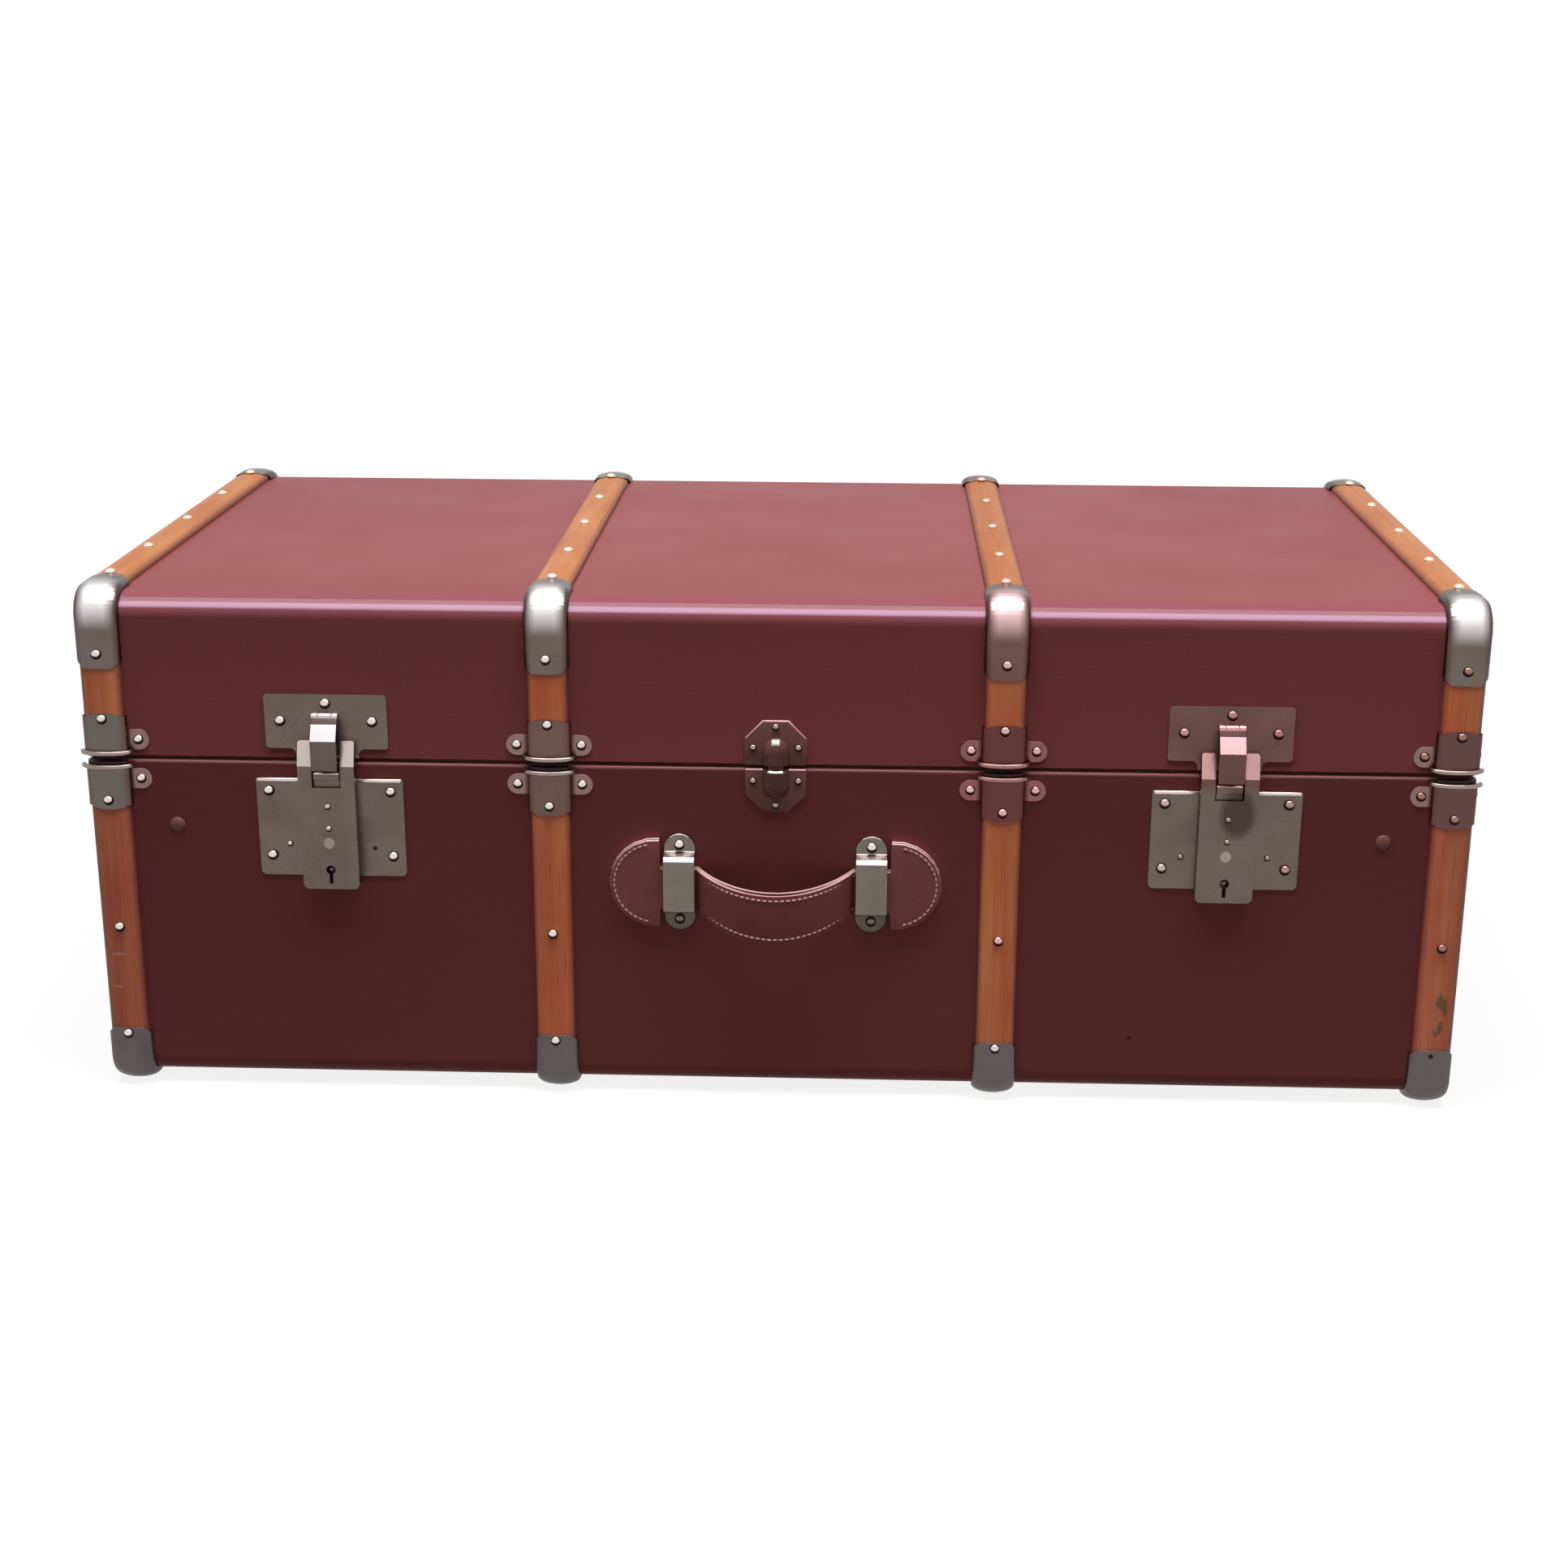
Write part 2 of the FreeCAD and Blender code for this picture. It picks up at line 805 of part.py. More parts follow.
def catch_half(direction, reach, boss_reach):
    """One half of the eight-sided centre catch, with its sloping boss."""
    a = catch_width / 2
    c = catch_chamfer
    near = seam_z + direction * catch_gap
    far = seam_z + direction * reach
    plate = front_outline([
        (-a, near), (-a, far - direction * c), (c - a, far),
        (a - c, far), (a, far - direction * c), (a, near),
    ], 0, catch_thickness)
    boss_far = seam_z + direction * boss_reach
    boss = side_profile([
        (0, near),
        (boss_proud, near),
        (boss_proud, boss_far - direction * boss_slope),
        (catch_thickness, boss_far),
        (0, boss_far),
    ], boss_width)
    return fuse_all([plate, boss])


def catch_tongue(play, low, high):
    return front_block(
        -catch_tongue_width / 2 - play, catch_tongue_width / 2 + play,
        catch_tongue_offset - play, catch_tongue_offset + catch_tongue_thickness + play,
        low, high,
    )


def catch_lower():
    body = catch_half(-1, catch_drop, boss_drop)
    tongue = catch_tongue(0, seam_z - boss_drop / 2, seam_z + catch_tongue_height)
    return fuse_all([body, tongue])


def catch_upper():
    body = catch_half(1, catch_rise, boss_rise)
    pocket = catch_tongue(
        moving_gap, seam_z, seam_z + catch_tongue_height + moving_gap
    )
    return body.cut(pocket)


def rivet(x, z, seat, radius=rivet_radius, height=rivet_height):
    """A domed rivet head, seated at a distance out from the face."""
    def ring(scale, out):
        points = []
        for step in range(rivet_sides + 1):
            angle = 2 * math.pi * step / rivet_sides
            points.append(Vec(
                x + scale * radius * math.cos(angle),
                -out,
                z + scale * radius * math.sin(angle),
            ))
        return Part.makePolygon(points)

    return Part.makeLoft([ring(1, seat), ring(rivet_crown_share, seat + height)], True, True)


def hasp_plate_rivets():
    side = hasp_plate_width / 2 - plate_rivet_inset
    z = seam_z + plate_rivet_rise
    seat = hasp_plate_thickness
    crown = rivet(0, seam_z + crown_rivet_rise, seat)
    return [rivet(-side, z, seat), rivet(side, z, seat), crown]


def lock_plate_rivets():
    side = lock_plate_width / 2 - lock_rivet_inset
    high = seam_z - lock_plate_top - lock_rivet_margin
    low = seam_z - lock_plate_bottom + lock_rivet_foot
    seat = lock_plate_thickness
    return [rivet(x, z, seat) for x in (-side, side) for z in (low, high)]


def catch_rivets(direction, reach, side_height):
    side = catch_width / 2 - catch_rivet_inset
    end = seam_z + direction * (reach - catch_end_inset)
    z = seam_z + direction * side_height
    places = ((-side, z), (side, z), (0, end))
    return [
        rivet(x, height, catch_thickness, catch_rivet_radius) for x, height in places
    ]


def handle_loop():
    """A strip loop with round feet, bridged over the leather."""
    half = loop_length / 2
    bridge = bridge_height / 2
    t = loop_strip
    out = loop_proud
    c = bridge_chamfer
    inner = bridge - t
    inner_c = c - t * (2 - math.sqrt(2))
    strip = side_profile([
        (0, -half), (t, -half), (t, -bridge), (out - c, -bridge), (out, c - bridge),
        (out, bridge - c), (out - c, bridge), (t, bridge), (t, half), (0, half),
        (0, inner), (out - t - inner_c, inner), (out - t, inner - inner_c),
        (out - t, inner_c - inner), (out - t - inner_c, -inner), (0, -inner),
    ], loop_width)
    r = loop_width / 2
    straight = half - r
    upper = half_round(Vec(0, 0, half), Vec(r, 0, straight), Vec(-r, 0, straight))
    lower = half_round(Vec(0, 0, -half), Vec(-r, 0, -straight), Vec(r, 0, -straight))
    outline = loop_face([point + Vec(0, overrun, 0) for point in upper + lower])
    outline = outline.extrude(Vec(0, -out - 2 * overrun, 0))
    return strip.common(outline)


def handle_loops():
    loop = handle_loop()
    places = (-loop_spacing / 2, loop_spacing / 2)
    return [loop.translated(Vec(x, 0, handle_height)) for x in places]


def loop_rivets():
    places = []
    offset = loop_length / 2 - loop_rivet_margin
    for x in (-loop_spacing / 2, loop_spacing / 2):
        for z in (handle_height - offset, handle_height + offset):
            places.append(rivet(x, z, loop_strip))
    return places


def handle_front_shape():
    """The handle's outline seen from the front: lobes, necks and drooping grip."""
    end = handle_length / 2
    lobe = (loop_spacing + loop_width) / 2 + lobe_gap
    neck = (loop_spacing - loop_width) / 2 - grip_straight
    z = handle_height
    lobe_low = z - lobe_height / 2
    lobe_high = z + lobe_height / 2
    neck_mid = z - neck_drop
    neck_low = neck_mid - neck_height / 2
    neck_high = neck_mid + neck_height / 2
    grip_mid = z - grip_drop
    grip_low = grip_mid - grip_height / 2
    grip_high = grip_mid + grip_height / 2

    def at(x, height):
        return Vec(x, overrun, height)

    edges = [
        arc_edge(at(-neck, neck_high), at(0, grip_high), at(neck, neck_high)),
        line_edge(at(neck, neck_high), at(lobe, neck_high)),
        line_edge(at(lobe, neck_high), at(lobe, lobe_high)),
        arc_edge(at(lobe, lobe_high), at(end, z), at(lobe, lobe_low)),
        line_edge(at(lobe, lobe_low), at(lobe, neck_low)),
        line_edge(at(lobe, neck_low), at(neck, neck_low)),
        arc_edge(at(neck, neck_low), at(0, grip_low), at(-neck, neck_low)),
        line_edge(at(-neck, neck_low), at(-lobe, neck_low)),
        line_edge(at(-lobe, neck_low), at(-lobe, lobe_low)),
        arc_edge(at(-lobe, lobe_low), at(-end, z), at(-lobe, lobe_high)),
        line_edge(at(-lobe, lobe_high), at(-lobe, neck_high)),
        line_edge(at(-lobe, neck_high), at(-neck, neck_high)),
    ]
    depth = 2 * overrun + slide_play + handle_thickness + grip_bow
    return Part.Face(Part.Wire(edges)).extrude(Vec(0, -depth, 0))


def handle_plan_shape():
    """The handle seen from above: flat at the ends, bowed out at the grip."""
    end = handle_length / 2 + overrun
    neck = (loop_spacing - loop_width) / 2 - grip_straight
    back = slide_play
    front = back + handle_thickness
    bow_front = front + grip_bow
    bow_back = bow_front - grip_thickness
    low = handle_height - lobe_height

    def at(x, out):
        return Vec(x, -out, low)

    edges = [
        line_edge(at(-end, back), at(-neck, back)),
        arc_edge(at(-neck, back), at(0, bow_back), at(neck, back)),
        line_edge(at(neck, back), at(end, back)),
        line_edge(at(end, back), at(end, front)),
        line_edge(at(end, front), at(neck, front)),
        arc_edge(at(neck, front), at(0, bow_front), at(-neck, front)),
        line_edge(at(-neck, front), at(-end, front)),
        line_edge(at(-end, front), at(-end, back)),
    ]
    return Part.Face(Part.Wire(edges)).extrude(Vec(0, 0, 2 * lobe_height))


def leather_handle():
    """The leather handle, where its front and plan outlines agree."""
    return handle_front_shape().common(handle_plan_shape())


def tray_rest():
    """A wooden rest for a tray, on the inside of the front wall."""
    top = seam_z - rest_drop + rest_height / 2
    inside = -shell_wall - lining_thickness - 2 * contact_play
    return front_block(
        -rest_length / 2, rest_length / 2, inside - rest_thickness, inside,
        top - rest_height, top,
    )


def tray_rests():
    piece = tray_rest()
    places = []
    for x in (-rest_x, rest_x):
        places.append(to_front(piece).translated(Vec(x, 0, 0)))
        places.append(to_back(piece).translated(Vec(x, 0, 0)))
    return places


def tray_rest_rivets():
    piece = rivet(0, seam_z - rest_drop, 0, rest_rivet_radius, rest_rivet_height)
    places = []
    for x in (-rest_x, rest_x):
        places.append(to_front(piece).translated(Vec(x, 0, 0)))
        places.append(to_back(piece).translated(Vec(x, 0, 0)))
    return places


def stay_block(side, inner_face, centre_y, centre_z):
    """A wooden block on the inside of an end, holding a tape's end."""
    wall_x = inner_face
    far_x = inner_half_length - tongue_thickness - slide_play - stay_width
    low_x = min(side * wall_x, side * far_x)
    high_x = max(side * wall_x, side * far_x)
    return block(
        Vec(low_x, centre_y - stay_block_depth / 2, centre_z - stay_block_height / 2),
        Vec(high_x, centre_y + stay_block_depth / 2, centre_z + stay_block_height / 2),
    )


def stay_y():
    """How far back the near strand of a stay hangs."""
    return hinge_axis_y - stay_set_back


def base_stay_block(side):
    face = inner_half_length - tongue_thickness
    return stay_block(side, face, stay_y(), seam_z - base_stay_drop)


def lid_stay_block(side):
    face = inner_half_length - contact_play - lining_thickness
    return stay_block(side, face, stay_y(), seam_z + lid_stay_rise + tongue_rise)


def lid_stay(side):
    """The slack tape of one stay, hanging in a loop inside the closed trunk."""
    t = stay_thickness
    near = stay_y() - stay_block_depth / 2 - contact_play
    far = near - stay_strand_gap
    r = stay_strand_gap / 2
    start_z = seam_z - base_stay_drop
    end_z = seam_z + lid_stay_rise + tongue_rise
    hang = stay_length - math.pi * r - (end_z - start_z)
    low = start_z - hang / 2
    mid = (near + far) / 2

    def at(y, z):
        return Vec(0, y, z)

    wire = [
        line_edge(at(near, start_z), at(near, low)),
        arc_edge(at(near, low), at(mid, low - r), at(far, low)),
        line_edge(at(far, low), at(far, end_z)),
        line_edge(at(far, end_z), at(far + t, end_z)),
        line_edge(at(far + t, end_z), at(far + t, low)),
        arc_edge(at(far + t, low), at(mid, low - r + t), at(near - t, low)),
        line_edge(at(near - t, low), at(near - t, start_z)),
        line_edge(at(near - t, start_z), at(near, start_z)),
    ]
    x = inner_half_length - tongue_thickness - slide_play
    start = min(side * x, side * (x - stay_width))
    face = Part.Face(Part.Wire(wire)).translated(Vec(start, 0, 0))
    return face.extrude(Vec(stay_width, 0, 0))


def save(name, solids):
    """Writes one sub-part, moved so that the whole part is centred."""
    shape = solids[0] if len(solids) == 1 else Part.makeCompound(solids)
    shape.translated(frame_shift).exportStep(os.path.join("parts", name + ".step"))


def main():
    os.makedirs("parts", exist_ok=True)
    parts = {}

    parts["base_shell"] = [base_shell()]
    parts["base_lining"] = [base_lining()]
    parts["tongue_frame"] = [tongue_frame()]
    parts["lid_shell"] = [lid_shell()]
    parts["lid_lining"] = [lid_lining()]

    run = half_depth - edge_radius
    base_slat = slat(foot + edge_radius, base_rim_z)
    lid_slat = slat(lid_rim_z, body_top - edge_radius)
    cross_slat = slat(-run, run)
    top_cap = corner_cap(top_cap_drop)
    flip = Vec(0, 0, (foot + body_top) / 2)
    bottom_cap = corner_cap(bottom_cap_rise).mirror(flip, Vec(0, 0, 1))
    lid_clamps = clamps(1, lid_clamp_reach, lid_ear_rise)
    base_clamps = clamps(-1, base_clamp_reach, base_ear_drop)

    parts["lid_top_slats"] = at_slats(lay_on_top(cross_slat))
    parts["base_bottom_slats"] = at_slats(lay_below(cross_slat))
    parts["base_front_slats"] = at_slats(to_front(base_slat))
    parts["base_back_slats"] = at_slats(to_back(base_slat))
    parts["lid_front_slats"] = at_slats(to_front(lid_slat))
    parts["lid_back_slats"] = at_slats(to_back(lid_slat))
    parts["lid_front_caps"] = at_slats(top_cap)
    parts["base_front_caps"] = at_slats(bottom_cap)
    mirror_plane = (Vec(0, 0, 0), Vec(0, 1, 0))
    parts["lid_back_caps"] = at_slats(top_cap.mirror(*mirror_plane))
    parts["base_back_caps"] = at_slats(bottom_cap.mirror(*mirror_plane))
    parts["lid_front_clamps"] = [to_front(piece) for piece in lid_clamps]
    parts["lid_back_clamps"] = [to_back(piece) for piece in lid_clamps]
    parts["base_front_clamps"] = [to_front(piece) for piece in base_clamps]
    parts["base_back_clamps"] = [to_back(piece) for piece in base_clamps]

    base_leaves, lid_leaves, pins = hinges()
    parts["hinge_base_leaves"] = base_leaves
    parts["hinge_lid_leaves"] = lid_leaves
    parts["hinge_pins"] = pins

    lid_rivets = []
    base_rivets = []
    for word, x in (("left", -lock_x), ("right", lock_x)):
        shift = Vec(x, 0, 0)

        def placed(piece):
            return to_front(piece).translated(shift)

        parts["hasp_plate_" + word] = [placed(hasp_plate())]
        parts["hasp_" + word] = [placed(hasp())]
        parts["hasp_pin_" + word] = [placed(hasp_pin())]
        parts["lock_plate_" + word] = [placed(lock_plate())]
        parts["lock_case_" + word] = [placed(lock_case())]
        parts["release_button_" + word] = [placed(release_button())]
        parts["button_spring_" + word] = [placed(button_spring())]
        parts["key_bolt_" + word] = [placed(key_bolt())]
        lid_rivets += [placed(piece) for piece in hasp_plate_rivets()]
        base_rivets += [placed(piece) for piece in lock_plate_rivets()]

    parts["catch_upper"] = [to_front(catch_upper())]
    parts["catch_lower"] = [to_front(catch_lower())]
    upper_rivets = catch_rivets(1, catch_rise, catch_rivet_rise)
    lower_rivets = catch_rivets(-1, catch_drop, catch_rivet_drop)
    parts["lid_fitting_rivets"] = lid_rivets + [to_front(p) for p in upper_rivets]
    parts["base_fitting_rivets"] = base_rivets + [to_front(p) for p in lower_rivets]

    handle = leather_handle()
    parts["front_handle"] = [to_front(handle)]
    parts["front_handle_loops"] = [to_front(p) for p in handle_loops()]
    parts["front_handle_rivets"] = [to_front(p) for p in loop_rivets()]
    for word, side in (("left", -1), ("right", 1)):
        parts["end_handle_" + word] = [to_end(handle, side)]
        parts["end_handle_loops_" + word] = [to_end(p, side) for p in handle_loops()]
        parts["end_handle_rivets_" + word] = [to_end(p, side) for p in loop_rivets()]
        parts["lid_stay_" + word] = [lid_stay(side)]

    parts["tray_rests"] = tray_rests()
    parts["tray_rest_rivets"] = tray_rest_rivets()
    parts["base_stay_blocks"] = [base_stay_block(side) for side in (-1, 1)]
    parts["lid_stay_blocks"] = [lid_stay_block(side) for side in (-1, 1)]

    for name, solids in parts.items():
        save(name, solids)
    print(len(parts), "sub-parts written")


main()
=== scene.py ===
# %% Load the frame
import math

import bmesh
import bpy
from mathutils import Matrix, Vector


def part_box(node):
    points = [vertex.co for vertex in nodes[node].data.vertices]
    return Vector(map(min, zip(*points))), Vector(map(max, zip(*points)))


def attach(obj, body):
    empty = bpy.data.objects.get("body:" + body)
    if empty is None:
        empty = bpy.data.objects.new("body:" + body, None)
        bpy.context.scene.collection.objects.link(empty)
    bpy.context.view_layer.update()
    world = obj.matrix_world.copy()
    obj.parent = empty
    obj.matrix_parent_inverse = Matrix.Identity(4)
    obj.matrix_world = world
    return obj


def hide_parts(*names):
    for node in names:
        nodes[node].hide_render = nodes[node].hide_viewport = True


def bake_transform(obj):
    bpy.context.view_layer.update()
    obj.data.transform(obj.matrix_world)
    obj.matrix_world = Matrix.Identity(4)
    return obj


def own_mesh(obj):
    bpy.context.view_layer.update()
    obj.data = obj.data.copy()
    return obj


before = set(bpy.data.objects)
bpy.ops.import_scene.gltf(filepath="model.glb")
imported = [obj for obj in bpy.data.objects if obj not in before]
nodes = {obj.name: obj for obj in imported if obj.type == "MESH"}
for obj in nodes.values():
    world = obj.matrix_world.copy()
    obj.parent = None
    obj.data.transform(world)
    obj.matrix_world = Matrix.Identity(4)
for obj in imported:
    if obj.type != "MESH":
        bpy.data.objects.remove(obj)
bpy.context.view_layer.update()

# %% [markdown]
# # A slatted travel trunk
#
# The trunk is a plywood box in two halves. Wooden slats run round it, pressed
# caps cover the corners of the slats, and clamps hold their ends at the seam.
# Every size that the fittings share is read from the frame, so that a new
# piece lands on the piece that carries it.

# %% Levels and faces of the trunk
base_low, base_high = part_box("base_shell")
lid_low, lid_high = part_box("lid_shell")
front_y = base_low.y
back_y = base_high.y
middle_y = (front_y + back_y) / 2
half_depth = (back_y - front_y) / 2
half_length = base_high.x
foot_z = base_low.z
rim_z = base_high.z
lid_z = lid_low.z
top_z = lid_high.z
seam_z = (rim_z + lid_z) / 2
edge_radius = 0.0145
wall = 0.006
sheet = 0.0008
slat_half = 0.0135
slat_height = 0.0062
outer_slat_x = half_length - slat_half
inner_slat_x = 0.147
slat_places = (-outer_slat_x, -inner_slat_x, inner_slat_x, outer_slat_x)
lock_x = (inner_slat_x + outer_slat_x) / 2
print("trunk", round(2 * half_length, 3), "long, seam at", round(seam_z, 4))

# %% [markdown]
# ## Camera
#
# The photograph was taken from the front, a little to the right of the
# middle, looking down on the lid. The lens is worked out from how the edges
# of the box run together.

# %% Camera
camera_place = Vector((0.056, -1.6736, 0.6855))
camera_yaw = math.radians(1.98)
camera_pitch = math.radians(17.61)
camera_roll = math.radians(0.23)
lens_mm = 54.37
sensor_mm = 36.0

camera_data = bpy.data.cameras.new("camera")
camera_data.lens = lens_mm
camera_data.sensor_width = sensor_mm
camera = bpy.data.objects.new("camera", camera_data)
bpy.context.scene.collection.objects.link(camera)
turn_down = Matrix.Rotation(math.pi / 2 - camera_pitch, 4, "X")
turn_side = Matrix.Rotation(camera_yaw, 4, "Z")
tilt = Matrix.Rotation(camera_roll, 4, "Z")
camera.matrix_world = Matrix.Translation(camera_place) @ turn_side @ turn_down @ tilt
bpy.context.scene.camera = camera
print("camera", lens_mm, "mm lens at", tuple(camera_place))

# %% [markdown]
# ## Shader sums
#
# A material is a net of nodes. It could be wired by hand in the editor, but
# sums of masks are easier to read when they are written. So a small class
# wraps a socket, and each of Python's operators adds the Math node that does
# the same.

# %% Shader values
class Shade:
    """A socket that Python's own operators work on, by adding Math nodes."""

    def __init__(self, finish, socket):
        """A shade belongs to one net and wraps one socket."""
        self.finish = finish
        self.socket = socket

    def maths(self, operation, first, second):
        """The result of a Math node on two values."""
        return self.finish.add("ShaderNodeMath", {"operation": operation}, {0: first, 1: second})["Value"]

    def __add__(self, other):
        return self.maths("ADD", self, other)

    def __sub__(self, other):
        return self.maths("SUBTRACT", self, other)

    def __rsub__(self, other):
        return self.maths("SUBTRACT", other, self)

    def __mul__(self, other):
        return self.maths("MULTIPLY", self, other)

    def __abs__(self):
        return self.maths("ABSOLUTE", self, 0.0)

    def least(self, other):
        return self.maths("MINIMUM", self, other)

    __radd__ = __add__
    __rmul__ = __mul__


print("sums on sockets: plus, minus, times, abs and least")

# %% [markdown]
# ## Nets and finishes
#
# Every other node comes from one method, which sets the node's own choices
# first and then its sockets. A finish is a net with one shader, and knows the
# patterns that this trunk needs: clouds, bands, spots and bumps.

# %% Nets
class Net:
    """The nodes of a material or of the world."""

    def __init__(self, owner):
        owner.use_nodes = True
        self.owner = owner
        self.tree = owner.node_tree
        self.tree.nodes.clear()

    def fill(self, node, values):
        """Gives a node's sockets their values or links."""
        for key, value in values.items():
            if isinstance(value, Shade):
                self.tree.links.new(value.socket, node.inputs[key])
            else:
                node.inputs[key].default_value = value

    def add(self, kind, settings=None, values=None):
        """Adds a node: its settings first, then the values or links of its sockets."""
        node = self.tree.nodes.new(kind)
        for key, value in (settings or {}).items():
            setattr(node, key, value)
        self.fill(node, values or {})
        made = {}
        for index, socket in enumerate(node.outputs):
            made[index] = made[socket.name] = Shade(self, socket)
        return made

    def mixed(self, share, first, second, blend="MIX"):
        """A colour between two colours, or the first one multiplied by the second."""
        settings = {"data_type": "RGBA", "blend_type": blend}
        return self.add("ShaderNodeMix", settings, {0: share, 6: first, 7: second})[2]

    def spread(self, value, low, high, to_low=0.0, to_high=1.0):
        """A value from low to high, spread over new ends and held there."""
        values = {"Value": value, "From Min": low, "From Max": high, "To Min": to_low, "To Max": to_high}
        return self.add("ShaderNodeMapRange", {}, values)["Result"]

    def seen(self):
        """1 for rays that come from the camera or from a mirror image, 0 for light."""
        path = self.add("ShaderNodeLightPath")
        return path["Is Camera Ray"] + path["Is Glossy Ray"] + path["Is Transmission Ray"]


print("nets ready")

# %% Finishes
class Finish(Net):
    """A material with one shader, and the values that vary it."""

    def __init__(self, name):
        super().__init__(bpy.data.materials.new(name))
        self.shader = self.add("ShaderNodeBsdfPrincipled")["BSDF"]
        self.add("ShaderNodeOutputMaterial", {}, {"Surface": self.shader})
        self.place = self.add("ShaderNodeTexCoord")["Object"]

    def axes(self):
        """The three parts of the object coordinates."""
        parts = self.add("ShaderNodeSeparateXYZ", {}, {"Vector": self.place})
        return parts["X"], parts["Y"], parts["Z"]

    def noise(self, scale, detail=3.0, sizes=(1, 1, 1), roughness=0.5):
        """A cloudy value from 0 to 1, with its marks stretched by sizes."""
        stretched = self.add("ShaderNodeMapping", {}, {"Vector": self.place, "Scale": sizes})["Vector"]
        values = {"Vector": stretched, "Scale": scale, "Detail": detail, "Roughness": roughness}
        return self.add("ShaderNodeTexNoise", {}, values)["Fac"]

    def band(self, direction, scale, distortion=0.0):
        """Soft stripes from 0 to 1, across a direction."""
        settings = {"wave_type": "BANDS", "bands_direction": direction}
        values = {"Vector": self.place, "Scale": scale, "Distortion": distortion}
        return self.add("ShaderNodeTexWave", settings, values)["Fac"]

    def spot(self, centre, size_x, size_z):
        """A mask that is 1 inside an upright oval on the front and 0 outside."""
        x, y, z = self.axes()
        across = (x - centre[0]) * (1 / size_x)
        up = (z - centre[1]) * (1 / size_z)
        away = across * across + up * up
        return self.spread(away, 1.0, 0.4) * self.spread(y, front_y + slat_height, front_y)

    def bump(self, height, strength, distance):
        """A normal that follows a height."""
        values = {"Height": height, "Strength": strength, "Distance": distance}
        return self.add("ShaderNodeBump", {}, values)["Normal"]

    def set(self, **sockets):
        """Sets the shader's own sockets, with underscores for spaces."""
        values = {key.replace("_", " "): value for key, value in sockets.items()}
        self.fill(self.shader.socket.node, values)
        return self.owner


print("finishes ready")

# %% Colours
def hue(red, green, blue):
    """A colour given as it looks on a screen, from 0 to 255."""
    shares = [value / 255 for value in (red, green, blue)]
    light = [
        share / 12.92 if share <= 0.04045 else ((share + 0.055) / 1.055) ** 2.4 for share in shares
    ]
    return (*light, 1.0)


print("the paint's red is", round(hue(134, 68, 69)[0], 3), "in light")

# %% [markdown]
# ## Burgundy paint
#
# The plywood is covered with a satin burgundy finish. Large soft clouds vary
# its colour a little, and fine dust marks vary its gloss. The two long edges
# of the lid, that hands rub, are polished to a glossier coat, and their colour
# carries a mauve painted sheen and a pale painted highlight line. The rim of
# the base has a glossier coat and a painted highlight line too.

# %% Paint
nick_place = (0.2366, 0.0460)


def burgundy_paint():
    """Satin paint, glossier along the lid's long edges and the rim of the base, with painted highlights
    there.
    """
    finish = Finish("burgundy_paint")
    x, y, z = finish.axes()
    cloud = finish.noise(2.2, 4.0)
    fine = finish.noise(900.0, 2.0)
    colour = finish.mixed(finish.spread(cloud, 0.35, 0.65), hue(134, 68, 69), hue(140, 71, 72))
    scuff = finish.noise(60.0, 6.0, (1.0, 1.0, 6.0), 0.7)
    scuffed = finish.spread(scuff, 0.68, 0.80)
    colour = finish.mixed(scuffed * 0.3, colour, hue(170, 104, 100))
    nick = finish.spot(nick_place, 0.0022, 0.0014)
    colour = finish.mixed(nick * 0.8, colour, hue(60, 36, 34))
    edge_start = top_z - edge_radius
    high = finish.spread(z, edge_start, edge_start + edge_radius * 0.4)
    forward = finish.spread(y, front_y + edge_radius * 0.6, front_y + edge_radius)
    rear = finish.spread(y, back_y - edge_radius, back_y - edge_radius * 0.6)
    # The rim of the base: a glossier coat, and a painted highlight line in its colour.
    rim = finish.spread(z, rim_z - 0.0024, rim_z - 0.0016) * finish.spread(z, lid_z, rim_z)
    # The lid's long rounded edges: a glossier coat, and a painted sheen in the colour.
    polish_and_sheen = high * (1 - forward * (1 - rear))
    highlight_line_low = finish.spread(z, top_z - edge_radius * 0.60, top_z - edge_radius * 0.50)
    highlight_line_high = finish.spread(z, top_z - edge_radius * 0.30, top_z - edge_radius * 0.38)
    # A mauve painted sheen over the rounded edges, and a pale painted highlight line within it.
    colour = finish.mixed(polish_and_sheen * 0.25, colour, hue(168, 92, 124))
    colour = finish.mixed(polish_and_sheen * highlight_line_low * highlight_line_high * 0.9, colour, hue(220, 172, 198))
    # Painted highlight along the rim of the base.
    colour = finish.mixed(rim * 0.8, colour, hue(196, 124, 126))
    gloss = finish.noise(14.0, 5.0)
    return finish.set(
        Base_Color=colour,
        Roughness=finish.spread(gloss, 0.3, 0.7, 0.40, 0.47),
        Specular_IOR_Level=0.05,
        Coat_Weight=polish_and_sheen * 0.2 + rim * 0.6,
        Coat_Roughness=0.18,
        Coat_IOR=1.7,
        Normal=finish.bump(fine + scuff * 2.0 - nick * 4.0, 0.12, 0.0004),
    )


paint = burgundy_paint()
print("paint:", len(paint.node_tree.nodes), "nodes")

# %% [markdown]
# ## Wood of the slats
#
# The slats are oiled hardwood. Noise that is stretched along the grain gives
# the streaks, a finer one the pores. Each row of slats runs another way, so
# the grain's direction is a choice of the maker of the finish, and the upright
# rows are paler, as painted light for the front. The left outer slat is
# redder, the right one browner low down, and one top slat is dimmer. The
# flanks of every slat carry a painted shade, and two dents and green smears on
# the outer slats are worn in at their own places.

# %% Where the slats are worn, and where their tones differ
dent_places = ((-0.4385, 0.0968), (-0.4416, 0.0733))
smear_places = ((0.4400, 0.0740), (0.4385, 0.0600))
redder_wood = (0.68, 0.57, 0.72, 1.0)
browner_wood = (0.86, 0.77, 0.95, 1.0)
dimmer_wood = (0.84, 0.74, 0.63, 1.0)


def from_slat(x):
    """How far a place lies from the middle line of the nearest slat."""
    return abs(abs(x) - inner_slat_x).least(abs(abs(x) - outer_slat_x))


